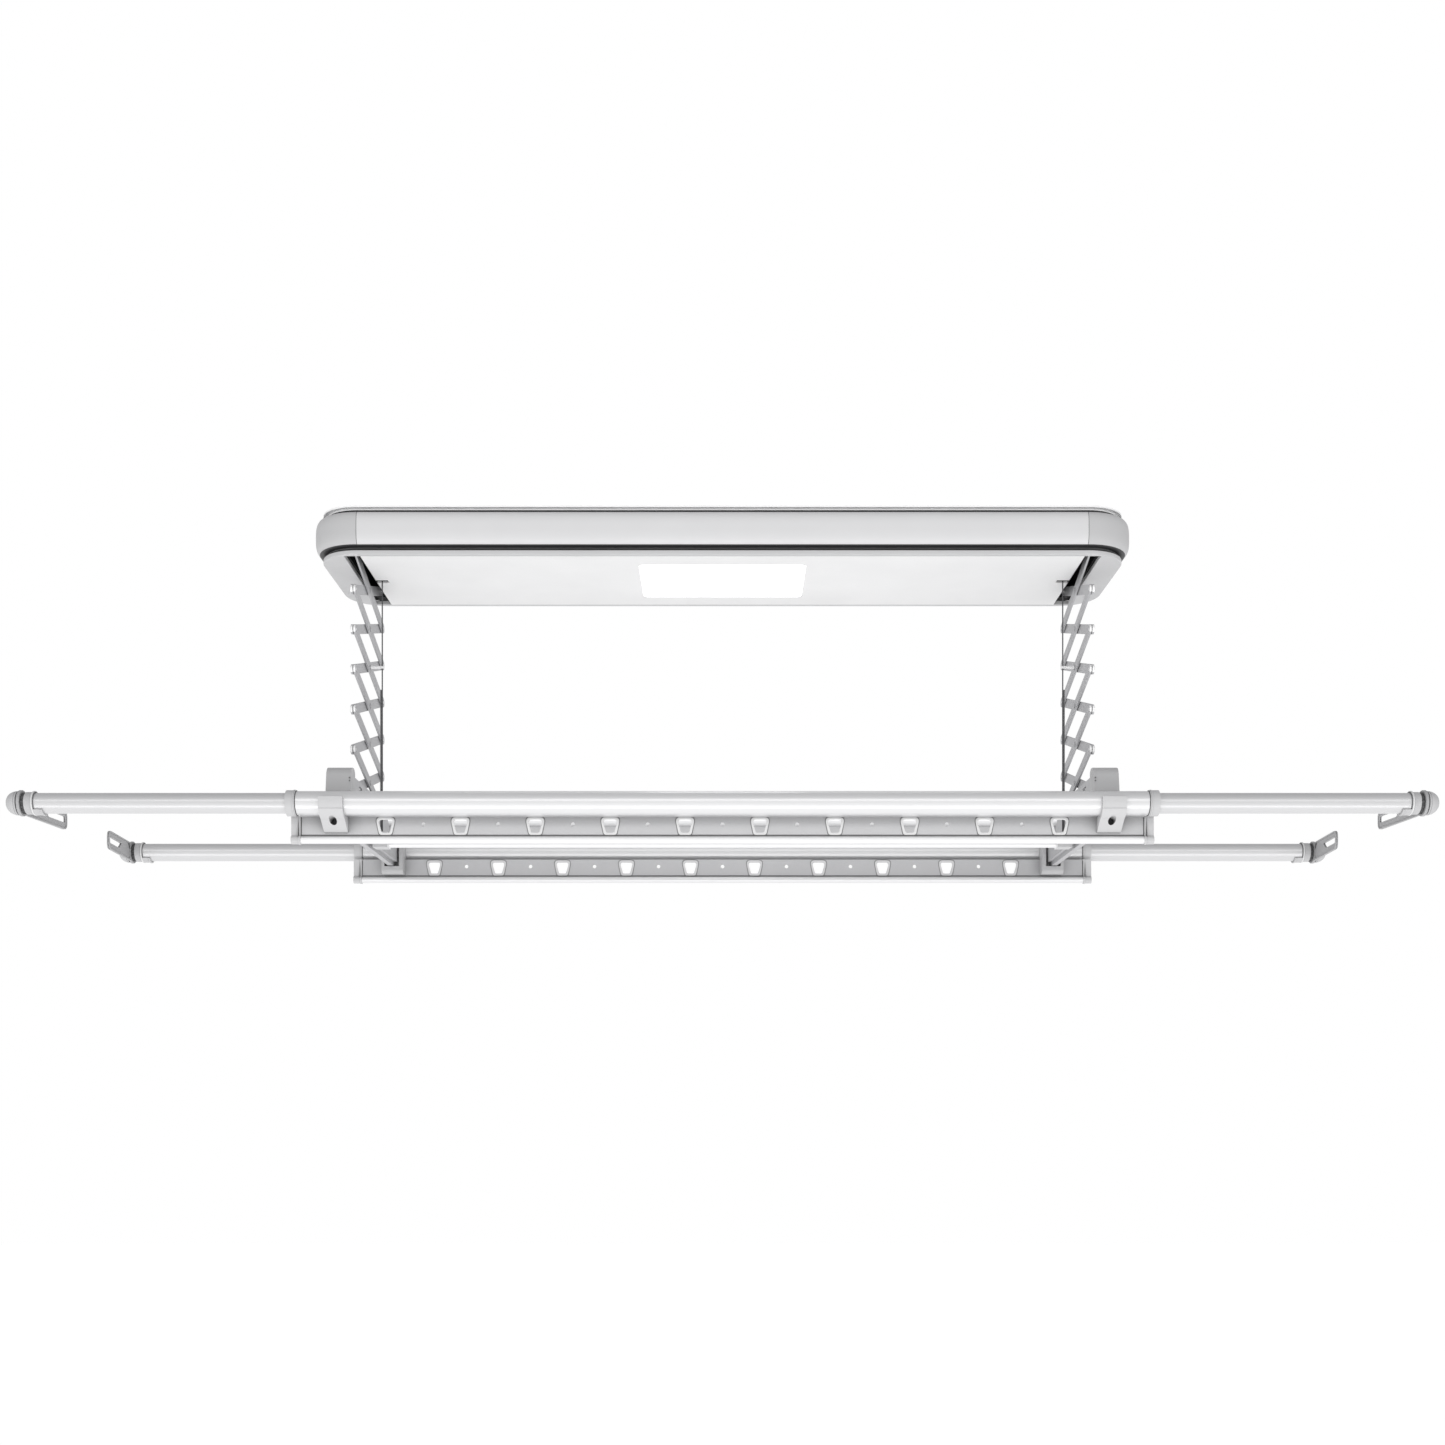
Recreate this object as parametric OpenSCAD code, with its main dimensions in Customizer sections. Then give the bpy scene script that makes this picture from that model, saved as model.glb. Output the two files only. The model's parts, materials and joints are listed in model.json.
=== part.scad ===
// Motorised ceiling clothes-drying rack: a housing bolted to the ceiling carries a
// motor, a rope drum and two rope sheaves; two scissor stacks guide a hanging frame
// with two hanger rails, four pull-out tubes and four swing-out end hooks.
// Frame: origin at the centre of the ceiling face, X along the length, Z up.

/* [Housing] */
// Length of the top and bottom trim
housing_len = 1404; // [1396:2:1408]
// Depth of the top and bottom trim
housing_dep = 312; // [304:2:320]
// Height of the housing
housing_h = 85; // [85:1:90]
// Plan radius of the housing corners
corner_r = 70; // [60:1:74]
// How far the side band swells beyond the trim
band_bulge = 13; // [6:1:16]
// Wall thickness of the side band
band_wall = 2.5; // [2:0.5:4]
// Distance from the middle to the seam between the metal band and the end covers
seam_x = 629; // [624:1:631]

/* [Light and bottom panel] */
// Length of the light diffuser
light_len = 295; // [200:5:400]
// Depth of the light diffuser
light_dep = 195; // [150:5:220]
// Corner radius of the light diffuser
light_r = 10; // [4:1:20]
// Thickness of the bottom panel
panel_t = 4; // [3:0.5:5]

/* [Scissor guides] */
// Distance between the end pins of one scissor arm
arm_len = 259.5; // [259:0.5:260]
// Width of a scissor arm
arm_w = 17; // [15:0.5:17]
// Thickness of a scissor arm
arm_t = 3.5; // [2.5:0.5:3.5]
// Angle of the arms to the horizontal as stored
arm_angle = 15.6; // [15.5:0.05:15.7]
// Height of the top pin row
top_row_z = -66; // [-67:0.5:-65]
// Radius of the pivot pins
pin_r = 3; // [2.5:0.25:3]
// Radius of the oversize holes at the arm ends
row_hole_r = 5.2; // [5.2:0.1:5.6]

/* [Hanging frame] */
// Distance from the middle plane to the rail tube axis
tube_y = 276; // [275:0.5:278]
// Height of the rail tube axis
tube_z = -535; // [-536:0.5:-534]
// Outer radius of the rail tube
tube_r = 20; // [20:0.5:20.5]
// Distance from the middle to the cut end of the tubes and webs
rail_half = 716; // [716:1:718]
// Distance from the middle plane to the inner face of the rail web
web_y = 250; // [249.5:0.5:250]
// Thickness of the rail web
web_t = 3; // [2.5:0.5:3]
// Bottom edge of the web
web_bot_z = -586; // [-587:1:-585]
// Radius of the bead along the bottom of the web
bead_r = 6.25; // [5.5:0.25:7]

/* [Hanger holes] */
// Number of hanger holes in each rail
hanger_count = 10; // [6:2:10]
// Distance between hanger holes
hanger_pitch = 125; // [110:1:125]
// Outer width of the hole trim at the top
hanger_top_w = 31; // [28:1:34]
// Outer width of the hole trim at the bottom
hanger_bot_w = 18; // [16:1:22]
// Outer height of the hole trim
hanger_h = 27; // [26:1:27]
// Radius of the small round holes between them
small_hole_r = 3.5; // [2:0.5:5]

/* [Pull-out tubes and end hooks] */
// Outer radius of a pull-out tube
ext_r = 17; // [16.5:0.25:17]
// Distance from the middle to the outer end of a pull-out tube
ext_end_x = 1137; // [1136:1:1140]
// Reach of an end hook from the tube axis
hook_len = 170; // [150:1:180]
// Height of an end hook's blade
hook_w = 35; // [30:1:38]
// Length of the slot in an end hook
hook_slot_len = 78; // [60:1:80]
// Height of the slot in an end hook
hook_slot_w = 11; // [9:1:14]

/* [Ropes] */
// Diameter of a lifting rope
rope_d = 2.4; // [2:0.1:2.8]
// Distance from the middle to each hanging rope
rope_x = 616.5; // [616:0.5:617]
// Winding radius of the rope drum
drum_r = 20; // [19:0.5:21]
// Winding radius of the rope sheaves
sheave_r = 14; // [13.5:0.5:14.5]

/* [Hidden] */
$fn = 48;
eps = 0.01;
run_gap = 0.05;

// Housing levels, from the ceiling down
tray_t = 3;
groove_h = 9;
lower_groove_h = 6;
lower_trim_h = 8;
band_top_z = -tray_t - groove_h;
band_bot_z = -housing_h + lower_trim_h + lower_groove_h;
seal_inset = 6;
seal_wall = 3.5;
corner_x = housing_len / 2 - corner_r;
corner_y = housing_dep / 2 - corner_r;
tray_flange_y = 118;
tray_flange_h = 14;
ceiling_hole_x = 500;
ceiling_hole_y = 90;
ceiling_hole_r = 4.25;
cable_x = -445;
cable_hole_r = 10;
screw_y = 136;
long_lip = 24;
short_lip = 8;

// Openings in the bottom of the housing
panel_half_x = 627;
panel_half_y = 146;
slot_x1 = 655;
notch_x0 = 605;
notch_half_y = 7.5;

// Scissor layout: inner and outer arm layers and the pin rows
units = 6;
inner_x = 638;
outer_x = 642.8;
half_arm = arm_len / 2;
row_y = half_arm * cos(arm_angle);
row_dz = arm_len * sin(arm_angle);
last_row_z = top_row_z - units * row_dz;
washer_gap = 0.3;
head_r = 6.2;
head_t = 0.8;
spacer_r = 5.8;
washer_r = 8;
slot_half_h = 4.4;
slot_y0 = 106;
slot_y1 = 136;

// Channels that hold the first and the last pin row
chan_x0 = 631;
chan_x1 = 655;
chan_wall = 2.5;
hanger_half_y = 141;

// Cross arms
cross_top_z = -472;
cross_bot_z = -560;
cross_rim_z = -568;
cross_rim_x0 = 638;
cross_rim_x1 = 648;
cross_half_y = 240;

// Rope route inside the housing
sheave_x = rope_x - sheave_r;
sheave_z = -36;
drum_z = -42;
rope_lead_y = 6;
rope_end_z = -540;
rope_tail_x = rope_x + rope_d + 0.9;
rope_tail_z = -281;
rope_sides = 8;

// Rails
web_mid_y = web_y + web_t / 2;
web_top_z = tube_z - 17.5;
bead_z = web_bot_z - bead_r + 0.25;
web_half = rail_half - 7;
saddle_r0 = tube_r + 0.1;
tube_wall = 1.5;
saddle_w = 19;
saddle_t = 1.8;
groove_d = 1;
groove_w = 2.6;
cap_wall = 1;
cap_rim_w = 3.5;
cap_rim_h = 0.8;
hanger_z = -568.8;
small_hole_z = -566;
trim_rim = 3;
collar_x0 = 705;
collar_x1 = 721;
collar_r = 21.5;
clamp_x0 = 624.6;
clamp_x1 = 664.4;
clamp_x = (clamp_x0 + clamp_x1) / 2;
clamp_outer_r = 28;
clamp_top_z = -528;
clamp_bot_z = -580;
clamp_screw_z = -564;
screw_r = 2.5;
screw_hole_r = 2.6;
block_x0 = 619.5;
block_x1 = 661;
block_y0 = 223;
block_top_z = -469;
block_bot_z = -583;
block_face_y = web_y + 12;

// Pull-out tubes: parts along the tube axis
ext_inner_x = 620;
ext_wall = 1.3;
tip_x0 = ext_end_x;
tip_x1 = ext_end_x + 18;
ring_x0 = ext_end_x + 21;
ring_x1 = ext_end_x + 26;
dome_x0 = ext_end_x + 28;
dome_len = 20.5;
spigot_r = 12;
hook_ring_r = 21.5;
collar_mid_r = 18.4;
lug_len = 15;
lug_angle = 50;
hook_play = 0.06;
hook_slot_margin = 7;
hook_lean = 4;
hook_bend_y = 21;

// ---------- shared shapes ----------

function arc_pts(cx, cy, r, a0, a1, n) =
    [for (i = [0:n]) let (a = a0 + (a1 - a0) * i / n) [cx + r * cos(a), cy + r * sin(a)]];

// Points of a corner rounded with radius r between the edges p0-p1 and p1-p2
function corner_pts(p0, p1, p2, r, n) =
    let (u = (p0 - p1) / norm(p0 - p1), v = (p2 - p1) / norm(p2 - p1))
    let (half = acos(u * v) / 2, c = p1 + (u + v) / norm(u + v) * r / sin(half))
    let (a = p1 + u * r / tan(half) - c, b = p1 + v * r / tan(half) - c)
    let (a0 = atan2(a[1], a[0]), d = atan2(b[1], b[0]) - a0)
    let (sweep = d > 180 ? d - 360 : d < -180 ? d + 360 : d)
    arc_pts(c[0], c[1], r, a0, a0 + sweep, n);

function round_poly(p, r, n = 3) =
    let (m = len(p))
    [for (i = [0:m - 1]) each corner_pts(p[(i + m - 1) % m], p[i], p[(i + 1) % m], r[i], n)];

module both_ends() {
    children();
    mirror([1, 0, 0]) children();
}

module both_rails() {
    children();
    mirror([0, 1, 0]) children();
}

// Lifts a YZ outline into a plate from x0 with thickness t
module yz_plate(x0, t) {
    translate([x0, 0, 0]) rotate([90, 0, 90]) linear_extrude(t) children();
}

// Extrudes an XZ outline along Y from y0 with thickness t
module xz_plate(y0, t) {
    translate([0, y0 + t, 0]) rotate([90, 0, 0]) linear_extrude(t) children();
}

module x_rod(x0, x1, r, y, z) {
    translate([x0, y, z]) rotate([0, 90, 0]) cylinder(h = x1 - x0, r = r);
}

module y_rod(y0, y1, r, x, z) {
    translate([x, y0, z]) rotate([-90, 0, 0]) cylinder(h = y1 - y0, r = r);
}

module box(x0, x1, y0, y1, z0, z1) {
    translate([x0, y0, z0]) cube([x1 - x0, y1 - y0, z1 - z0]);
}

module rounded_rect(w, d, r) {
    square([w - 2 * r, d], center = true);
    square([w, d - 2 * r], center = true);
    for (sx = [-1, 1], sy = [-1, 1])
        translate([sx * (w / 2 - r), sy * (d / 2 - r)]) circle(r);
}

module rounded_plate(w, d, r, z0, z1) {
    translate([0, 0, z0]) linear_extrude(z1 - z0) rounded_rect(w, d, r);
}

// ---------- housing ----------

// Distance of the band's outer face from the corner centre at height z
function band_r(z, inset) =
    let (mid = (band_top_z + band_bot_z) / 2, half = (band_top_z - band_bot_z) / 2)
    let (t = min(1, abs(z - mid) / half))
    corner_r - inset + band_bulge * pow(1 - pow(t, 3.4), 1 / 2.2);

function band_side(inset, n) =
    [for (i = [0:n]) let (s = -cos(180 * i / n))
     let (z = (band_top_z + band_bot_z) / 2 + s * (band_top_z - band_bot_z) / 2)
     [band_r(z, inset), z]];

module band_profile(lip) {
    outer = band_side(0, 18);
    inner = band_side(band_wall, 18);
    polygon(concat(outer, [for (i = [len(inner) - 1:-1:0]) inner[i]]));
    for (z = [band_bot_z, band_top_z - 2])
        translate([corner_r - 1 - lip, z]) square([lip, 2]);
}

// Straight length of band from x0 to x1 on the +Y side
module band_run(x0, x1, lip) {
    yz_plate(x0, x1 - x0) translate([corner_y, 0]) band_profile(lip);
}

// Screw positions along the +Y band
module screw_places() {
    for (x = [-420, -140, 140, 420]) translate([x, screw_y, 0]) children();
}

module chassis_tray() {
    color("lightgray") difference() {
        union() {
            rounded_plate(housing_len, housing_dep, corner_r, -tray_t, 0);
            for (s = [-1, 1])
                translate([0, s * tray_flange_y, -tray_t - tray_flange_h / 2])
                    cube([1180, 2, tray_flange_h + eps], center = true);
        }
        for (sx = [-1, 1], sy = [-1, 1])
            translate([sx * ceiling_hole_x, sy * ceiling_hole_y, -tray_t - 1])
                cylinder(h = tray_t + 2, r = ceiling_hole_r);
        translate([cable_x, 0, -tray_t - 1]) cylinder(h = tray_t + 2, r = cable_hole_r);
        both_rails() screw_places() {
            translate([0, 0, -tray_t - 1]) cylinder(h = tray_t + 2, r = 2 + run_gap);
            translate([0, 0, -2]) cylinder(h = 3, r = 4);
        }
    }
}

module side_bands() {
    color("silver") both_rails() difference() {
        band_run(-seam_x, seam_x, long_lip);
        screw_places() translate([0, 0, band_top_z - 3]) cylinder(h = 4, r = 2 + run_gap);
    }
}

module end_cover() {
    color("darkgray") {
        both_rails() union() {
            band_run(seam_x + 0.3, corner_x, short_lip);
            translate([corner_x, corner_y, 0]) rotate_extrude(angle = 90) band_profile(short_lip);
        }
        translate([corner_x, corner_y, 0]) rotate([0, 0, -90]) yz_plate(0, 2 * corner_y)
            band_profile(short_lip);
    }
}

module left_end_cover() {
    mirror([1, 0, 0]) end_cover();
}

module right_end_cover() {
    end_cover();
}

module seal_ring(z0, z1, inset) {
    difference() {
        rounded_plate(housing_len - 2 * inset, housing_dep - 2 * inset, corner_r - inset, z0, z1);
        rounded_plate(housing_len - 2 * inset - 2 * seal_wall,
            housing_dep - 2 * inset - 2 * seal_wall, corner_r - inset - seal_wall, z0 - 1, z1 + 1);
    }
}

module groove_seals() {
    rib = lower_groove_h / 3;
    color([0.13, 0.13, 0.14]) {
        seal_ring(band_top_z, -tray_t, seal_inset);
        union() {
            seal_ring(band_bot_z - lower_groove_h, band_bot_z, seal_inset);
            seal_ring(band_bot_z - 2 * rib, band_bot_z - rib, seal_inset - 2);
        }
    }
}

module bottom_frame() {
    z0 = -housing_h;
    z1 = -housing_h + lower_trim_h;
    color("gainsboro") difference() {
        rounded_plate(housing_len, housing_dep, corner_r, z0, z1);
        box(-panel_half_x - 0.5, panel_half_x + 0.5, -panel_half_y, panel_half_y, z0 - 1, z1 + 1);
        both_ends() box(panel_half_x, slot_x1, -panel_half_y, panel_half_y, z0 - 1, z1 + 1);
    }
}

module bottom_panel() {
    z0 = -housing_h;
    color("white") difference() {
        box(-panel_half_x, panel_half_x, -panel_half_y, panel_half_y, z0, z0 + panel_t);
        rounded_plate(light_len, light_dep, light_r, z0 - 1, z0 + panel_t + 1);
        both_ends()
            box(notch_x0, panel_half_x + 1, -notch_half_y, notch_half_y, z0 - 1, z0 + panel_t + 1);
    }
}

module light_diffuser() {
    z0 = -housing_h;
    color("white") union() {
        rounded_plate(light_len - 0.6, light_dep - 0.6, light_r - 0.3, z0 + 0.5, z0 + panel_t + eps);
        rounded_plate(light_len + 12, light_dep + 12, light_r, z0 + panel_t, z0 + panel_t + 1.5);
    }
}

module led_board() {
    z0 = -housing_h + panel_t + 6;
    color("lightyellow") union() {
        translate([0, 0, z0 + 0.8]) cube([light_len - 25, light_dep - 25, 1.6], center = true);
        for (ix = [-4:4], iy = [-2:2])
            translate([ix * 28, iy * 34, z0 - 0.5]) cube([5, 5, 1.1], center = true);
        for (sx = [-1, 1], sy = [-1, 1])
            translate([sx * 128, sy * 78, z0 - 4.5]) cylinder(h = 5, r = 3);
    }
}

// ---------- lifting drive ----------

motor_y = 92;

module gear_motor() {
    color("slategray") difference() {
        union() {
            box(-32, 32, 64, 104, -68, -14);
            x_rod(32, 118, 19, motor_y - 4, -42);
            x_rod(118, 126, 7, motor_y - 4, -42);
            box(-32, 32, 70, 98, -15, -tray_t);
        }
        y_rod(60, 84, 5 + run_gap, 0, drum_z);
    }
}

module drum_bearings() {
    color("dimgray") for (y = [-44, 36]) difference() {
        union() {
            box(-16, 16, y, y + 8, drum_z, -tray_t);
            y_rod(y, y + 8, 16, 0, drum_z);
        }
        y_rod(y - 1, y + 9, 5 + run_gap, 0, drum_z);
    }
}

module rope_drum() {
    color("gray") translate([0, 0, drum_z]) rotate([-90, 0, 0]) union() {
        translate([0, 0, -48]) cylinder(h = 130, r = 5);
        for (y = [-26, -2, 22]) translate([0, 0, y]) cylinder(h = 4, r = drum_r + 5);
        translate([0, 0, -25]) cylinder(h = 50, r = drum_r - rope_d / 2);
    }
}

module sheave() {
    groove_r = sheave_r - rope_d / 2 - 0.3;
    color("dimgray") translate([sheave_x, 4, sheave_z]) rotate([90, 0, 0]) rotate_extrude() polygon([
        [3 + run_gap, 0], [sheave_r + 3, 0], [sheave_r + 3, 1.5], [groove_r, 3],
        [groove_r, 5], [sheave_r + 3, 6.5], [sheave_r + 3, 8], [3 + run_gap, 8]
    ]);
}

module left_sheave() {
    mirror([1, 0, 0]) sheave();
}

module right_sheave() {
    sheave();
}

module sheave_brackets() {
    color("darkgray") both_ends() {
        for (y = [-8, 6]) difference() {
            box(sheave_x - 12, sheave_x + 8, y, y + 2, sheave_z - 6, -tray_t);
            y_rod(y - 1, y + 3, 3 + run_gap, sheave_x, sheave_z);
        }
        union() {
            y_rod(-10, 8, 3, sheave_x, sheave_z);
            y_rod(8, 9.5, 5, sheave_x, sheave_z);
        }
    }
}

module control_unit() {
    color("whitesmoke") {
        box(180, 330, -112, -16, -50, -tray_t);
        box(-330, -190, -112, -16, -46, -tray_t);
        difference() {
            box(-400, -360, -90, -30, -26, -tray_t);
            translate([-380, -60, -27]) cylinder(h = 12, r = 5);
        }
    }
}

module housing_screws() {
    color("gray") both_rails() screw_places() {
        translate([0, 0, -2]) cylinder(h = 1.8, r = 3.8);
        translate([0, 0, band_top_z - 5]) cylinder(h = 5 - band_top_z - 1, r = 2);
    }
}

// ---------- scissor guides ----------

module pin_slots(z) {
    translate([0, z]) for (s = [-1, 1])
        translate([s * (slot_y0 + slot_y1) / 2, 0]) {
            square([slot_y1 - slot_y0 - 2 * slot_half_h, 2 * slot_half_h], center = true);
            for (e = [-1, 1])
                translate([e * ((slot_y1 - slot_y0) / 2 - slot_half_h), 0]) circle(slot_half_h);
        }
}

module scissor_hangers() {
    z0 = -housing_h + lower_trim_h + 1;
    color("gray") both_ends() union() {
        for (x = [chan_x0, chan_x1 - chan_wall]) yz_plate(x, chan_wall) difference() {
            translate([-hanger_half_y, z0]) square([2 * hanger_half_y, -tray_t - z0]);
            pin_slots(top_row_z);
        }
        box(chan_x0, chan_x1, -hanger_half_y, hanger_half_y, -tray_t - chan_wall, -tray_t);
    }
}

function unit_z(k) = top_row_z - (k - 0.5) * row_dz;

module arm_outline(end_hole_r) {
    difference() {
        union() {
            square([arm_len, arm_w], center = true);
            for (s = [-1, 1]) translate([s * half_arm, 0]) circle(arm_w / 2);
        }
        circle(pin_r + run_gap);
        for (s = [-1, 1]) if (end_hole_r > 0) translate([s * half_arm, 0]) circle(end_hole_r);
    }
}

// Shouldered pin of an end row: spacer between the layers, shank, outer head
module row_pin(y, z) {
    x_rod(inner_x - head_t, inner_x + eps, 4, y, z);
    x_rod(inner_x + arm_t - eps, outer_x - washer_gap, spacer_r, y, z);
    x_rod(outer_x - washer_gap - eps, outer_x + arm_t + washer_gap, pin_r, y, z);
    x_rod(outer_x + arm_t + washer_gap, outer_x + arm_t + washer_gap + head_t, head_r, y, z);
}

// Through pin that slides in the slots of a channel
module slide_pin(y, z) {
    x_rod(chan_x0 + 0.5, chan_x1 - 0.5, pin_r, y, z);
}

// Arms that run from the front and high to the rear and low, with their pins
module inner_arms(k) {
    zc = unit_z(k);
    color("silver") both_ends() union() {
        translate([0, 0, zc]) yz_plate(inner_x, arm_t) rotate(-arm_angle) arm_outline(0);
        if (k == 1) slide_pin(-row_y, zc + row_dz / 2);
        if (k > 1) row_pin(-row_y, zc + row_dz / 2);
        if (k < units) row_pin(row_y, zc - row_dz / 2);
        if (k == units) slide_pin(row_y, zc - row_dz / 2);
    }
}

// Arms that run from the rear and high to the front and low, with oversize end holes
module outer_arms(k) {
    zc = unit_z(k);
    color("silver") both_ends() union() {
        difference() {
            translate([0, 0, zc]) yz_plate(outer_x, arm_t) rotate(arm_angle) arm_outline(0);
            if (k > 1) x_rod(outer_x - 1, outer_x + arm_t + 1, row_hole_r, row_y, zc + row_dz / 2);
            if (k < units)
                x_rod(outer_x - 1, outer_x + arm_t + 1, row_hole_r, -row_y, zc - row_dz / 2);
        }
        if (k == 1) slide_pin(row_y, zc + row_dz / 2);
        if (k == units) slide_pin(-row_y, zc - row_dz / 2);
    }
}

rope_unit = 3;
eye_r = rope_d / 2 + 0.5;
guide_r = 2.75;
guide_x0 = 613.5;

module crossing_pins(k) {
    z = unit_z(k);
    color("lightgray") both_ends() difference() {
        union() {
            x_rod(inner_x - washer_gap - head_t, inner_x - washer_gap, 4.5, 0, z);
            x_rod(inner_x - 1, outer_x + arm_t + 1, pin_r, 0, z);
            x_rod(inner_x + arm_t + washer_gap, outer_x - washer_gap, washer_r, 0, z);
            x_rod(outer_x + arm_t + washer_gap, outer_x + arm_t + washer_gap + head_t, 4.5, 0, z);
            if (k == rope_unit) x_rod(guide_x0, inner_x - 1, guide_r, 0, z);
        }
        if (k == rope_unit) translate([rope_x, 0, z - 5]) cylinder(h = 10, r = eye_r);
    }
}

// ---------- hanging frame ----------

module cross_arms() {
    z_slot = last_row_z;
    color("silver") both_ends() union() {
        for (x = [chan_x0, chan_x1 - chan_wall]) yz_plate(x, chan_wall) difference() {
            translate([-cross_half_y, cross_bot_z])
                square([2 * cross_half_y, cross_top_z - cross_bot_z]);
            pin_slots(z_slot);
        }
        box(chan_x0, chan_x1, -cross_half_y, cross_half_y, cross_bot_z, cross_bot_z + 3);
        box(cross_rim_x0, cross_rim_x1, -cross_half_y, cross_half_y, cross_rim_z,
            cross_bot_z + eps);
    }
}

bar_x = 604;
bar_tube_r = 16;
bar_tube_z = -512;
bar_bead_r = 6;
bar_bead_z = cross_rim_z + 1 + bar_bead_r;

// Middle rail: a tube with a web and a bead below it
module mid_bar() {
    color("silver") {
        yz_plate(-bar_x, 2 * bar_x) difference() {
            union() {
                translate([0, bar_tube_z]) circle(bar_tube_r);
                translate([-web_t / 2, bar_bead_z]) square([web_t, bar_tube_z - bar_bead_z]);
                translate([0, bar_bead_z]) circle(bar_bead_r);
            }
            translate([0, bar_tube_z]) circle(bar_tube_r - tube_wall);
        }
        both_ends() box(bar_x + run_gap, chan_x0, -16, 16, cross_rim_z, rope_end_z);
    }
}

// Outline of a rail web with its bottom bead and the saddle that carries the tube
module web_outline(with_saddle) {
    difference() {
        translate([web_y, web_bot_z - 1]) square([web_t, web_top_z - web_bot_z + 1]);
        for (y = [web_y, web_y + web_t])
            translate([y - groove_d, web_bot_z]) square([2 * groove_d, groove_w]);
    }
    translate([web_mid_y, bead_z]) circle(bead_r);
    if (with_saddle) difference() {
        translate([web_y + 1, web_top_z - saddle_t]) square([saddle_w - 1, saddle_t]);
        translate([tube_y, tube_z]) circle(saddle_r0);
    }
}

// Outline of a hanger hole, drawn about its middle, grown outwards by g
function hanger_outline(g) =
    let (t = hanger_top_w / 2 + g, b = hanger_bot_w / 2 + g, h = hanger_h / 2 + g)
    round_poly([[-b, -h], [b, -h], [t, h - 2], [0, h], [-t, h - 2]],
        [4 + g, 4 + g, 5 + g, 60, 5 + g]);

module hanger_places() {
    for (i = [0:hanger_count - 1])
        translate([(i - (hanger_count - 1) / 2) * hanger_pitch, 0, 0]) children();
}

module rail_web() {
    color("darkgray") difference() {
        union() {
            yz_plate(-web_half, 2 * web_half) web_outline(false);
            yz_plate(-collar_x0 + 2, 2 * collar_x0 - 4) web_outline(true);
        }
        hanger_places() xz_plate(web_y - 1, web_t + 2)
            translate([0, hanger_z]) polygon(hanger_outline(0));
        for (i = [1 - hanger_count / 2:hanger_count / 2 - 1])
            y_rod(web_y - 1, web_y + web_t + 1, small_hole_r, i * hanger_pitch, small_hole_z);
        both_ends() y_rod(web_y - 1, web_y + web_t + 1, screw_hole_r, clamp_x, clamp_screw_z);
    }
}

module front_web() {
    mirror([0, 1, 0]) rail_web();
}

module rear_web() {
    rail_web();
}

module hanger_trims() {
    color("whitesmoke") both_rails() hanger_places() difference() {
        union() {
            xz_plate(web_y - 1.5, web_t + 3) translate([0, hanger_z]) polygon(hanger_outline(0));
            xz_plate(web_y + web_t, 1.5) translate([0, hanger_z]) polygon(hanger_outline(0.8));
        }
        xz_plate(web_y - 2, web_t + 5) translate([0, hanger_z]) polygon(hanger_outline(-trim_rim));
    }
}

module rail_tubes() {
    color("silver") both_rails() difference() {
        x_rod(-rail_half, rail_half, tube_r, tube_y, tube_z);
        x_rod(-rail_half - 1, rail_half + 1, tube_r - tube_wall, tube_y, tube_z);
    }
}

module clamp_outline() {
    face_y = web_y + web_t;
    top_y = tube_y + clamp_outer_r;
    reach = 2 * tube_r;
    difference() {
        union() {
            intersection() {
                translate([tube_y, tube_z]) circle(clamp_outer_r);
                translate([tube_y, tube_z - reach]) square([reach, reach + clamp_top_z - tube_z]);
            }
            polygon([[face_y, clamp_bot_z], [face_y + 4, clamp_bot_z], [top_y - 2, tube_z - 13],
                [top_y - 6, tube_z - 5], [face_y, tube_z - 5]]);
        }
        translate([tube_y, tube_z]) circle(saddle_r0);
        translate([web_y, web_top_z - saddle_t - 0.1]) square([saddle_w + 0.1, reach]);
    }
}

module clamps() {
    color("whitesmoke") both_rails() both_ends() difference() {
        yz_plate(clamp_x0, clamp_x1 - clamp_x0) clamp_outline();
        y_rod(web_y + web_t + 6, web_y + 60, 6.25, clamp_x, clamp_screw_z);
        y_rod(web_y, web_y + web_t + 7, screw_hole_r, clamp_x, clamp_screw_z);
    }
}

module clamp_screws() {
    color("dimgray") both_rails() both_ends() union() {
        y_rod(web_y + web_t + 6, web_y + web_t + 11, 5, clamp_x, clamp_screw_z);
        y_rod(cross_half_y + 1, web_y + web_t + 7, screw_r, clamp_x, clamp_screw_z);
    }
}

module end_blocks() {
    color("whitesmoke") both_rails() both_ends() difference() {
        yz_plate(block_x0, block_x1 - block_x0) polygon(round_poly([
            [block_y0, block_bot_z], [web_y, block_bot_z], [web_y, web_top_z + 1],
            [block_face_y, web_top_z + 1], [block_face_y, block_top_z - 44], [web_y + 4, block_top_z],
            [block_y0 + 8, block_top_z], [block_y0, block_top_z - 6]],
            [8, 0.5, 0.2, 0.2, 6, 18, 3, 3], 7));
        x_rod(block_x0 - 1, block_x1 + 1, saddle_r0, tube_y, tube_z);
        box(chan_x0 - 4, chan_x1 + 0.2, block_y0 - 1, cross_half_y + 0.5, cross_rim_z - 1,
            block_top_z + 1);
        y_rod(block_y0 + 7, web_y + 1, screw_hole_r, clamp_x, clamp_screw_z);
    }
}

// Outline of a web end cap, g proud of the web all round
module cap_outline(g) {
    difference() {
        union() {
            translate([web_y - g, web_bot_z - 1])
                square([web_t + 2 * g, web_top_z - web_bot_z + 1]);
            translate([web_mid_y, bead_z]) circle(bead_r + g);
        }
        translate([tube_y, tube_z]) circle(collar_r + 0.8);
    }
}

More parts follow.
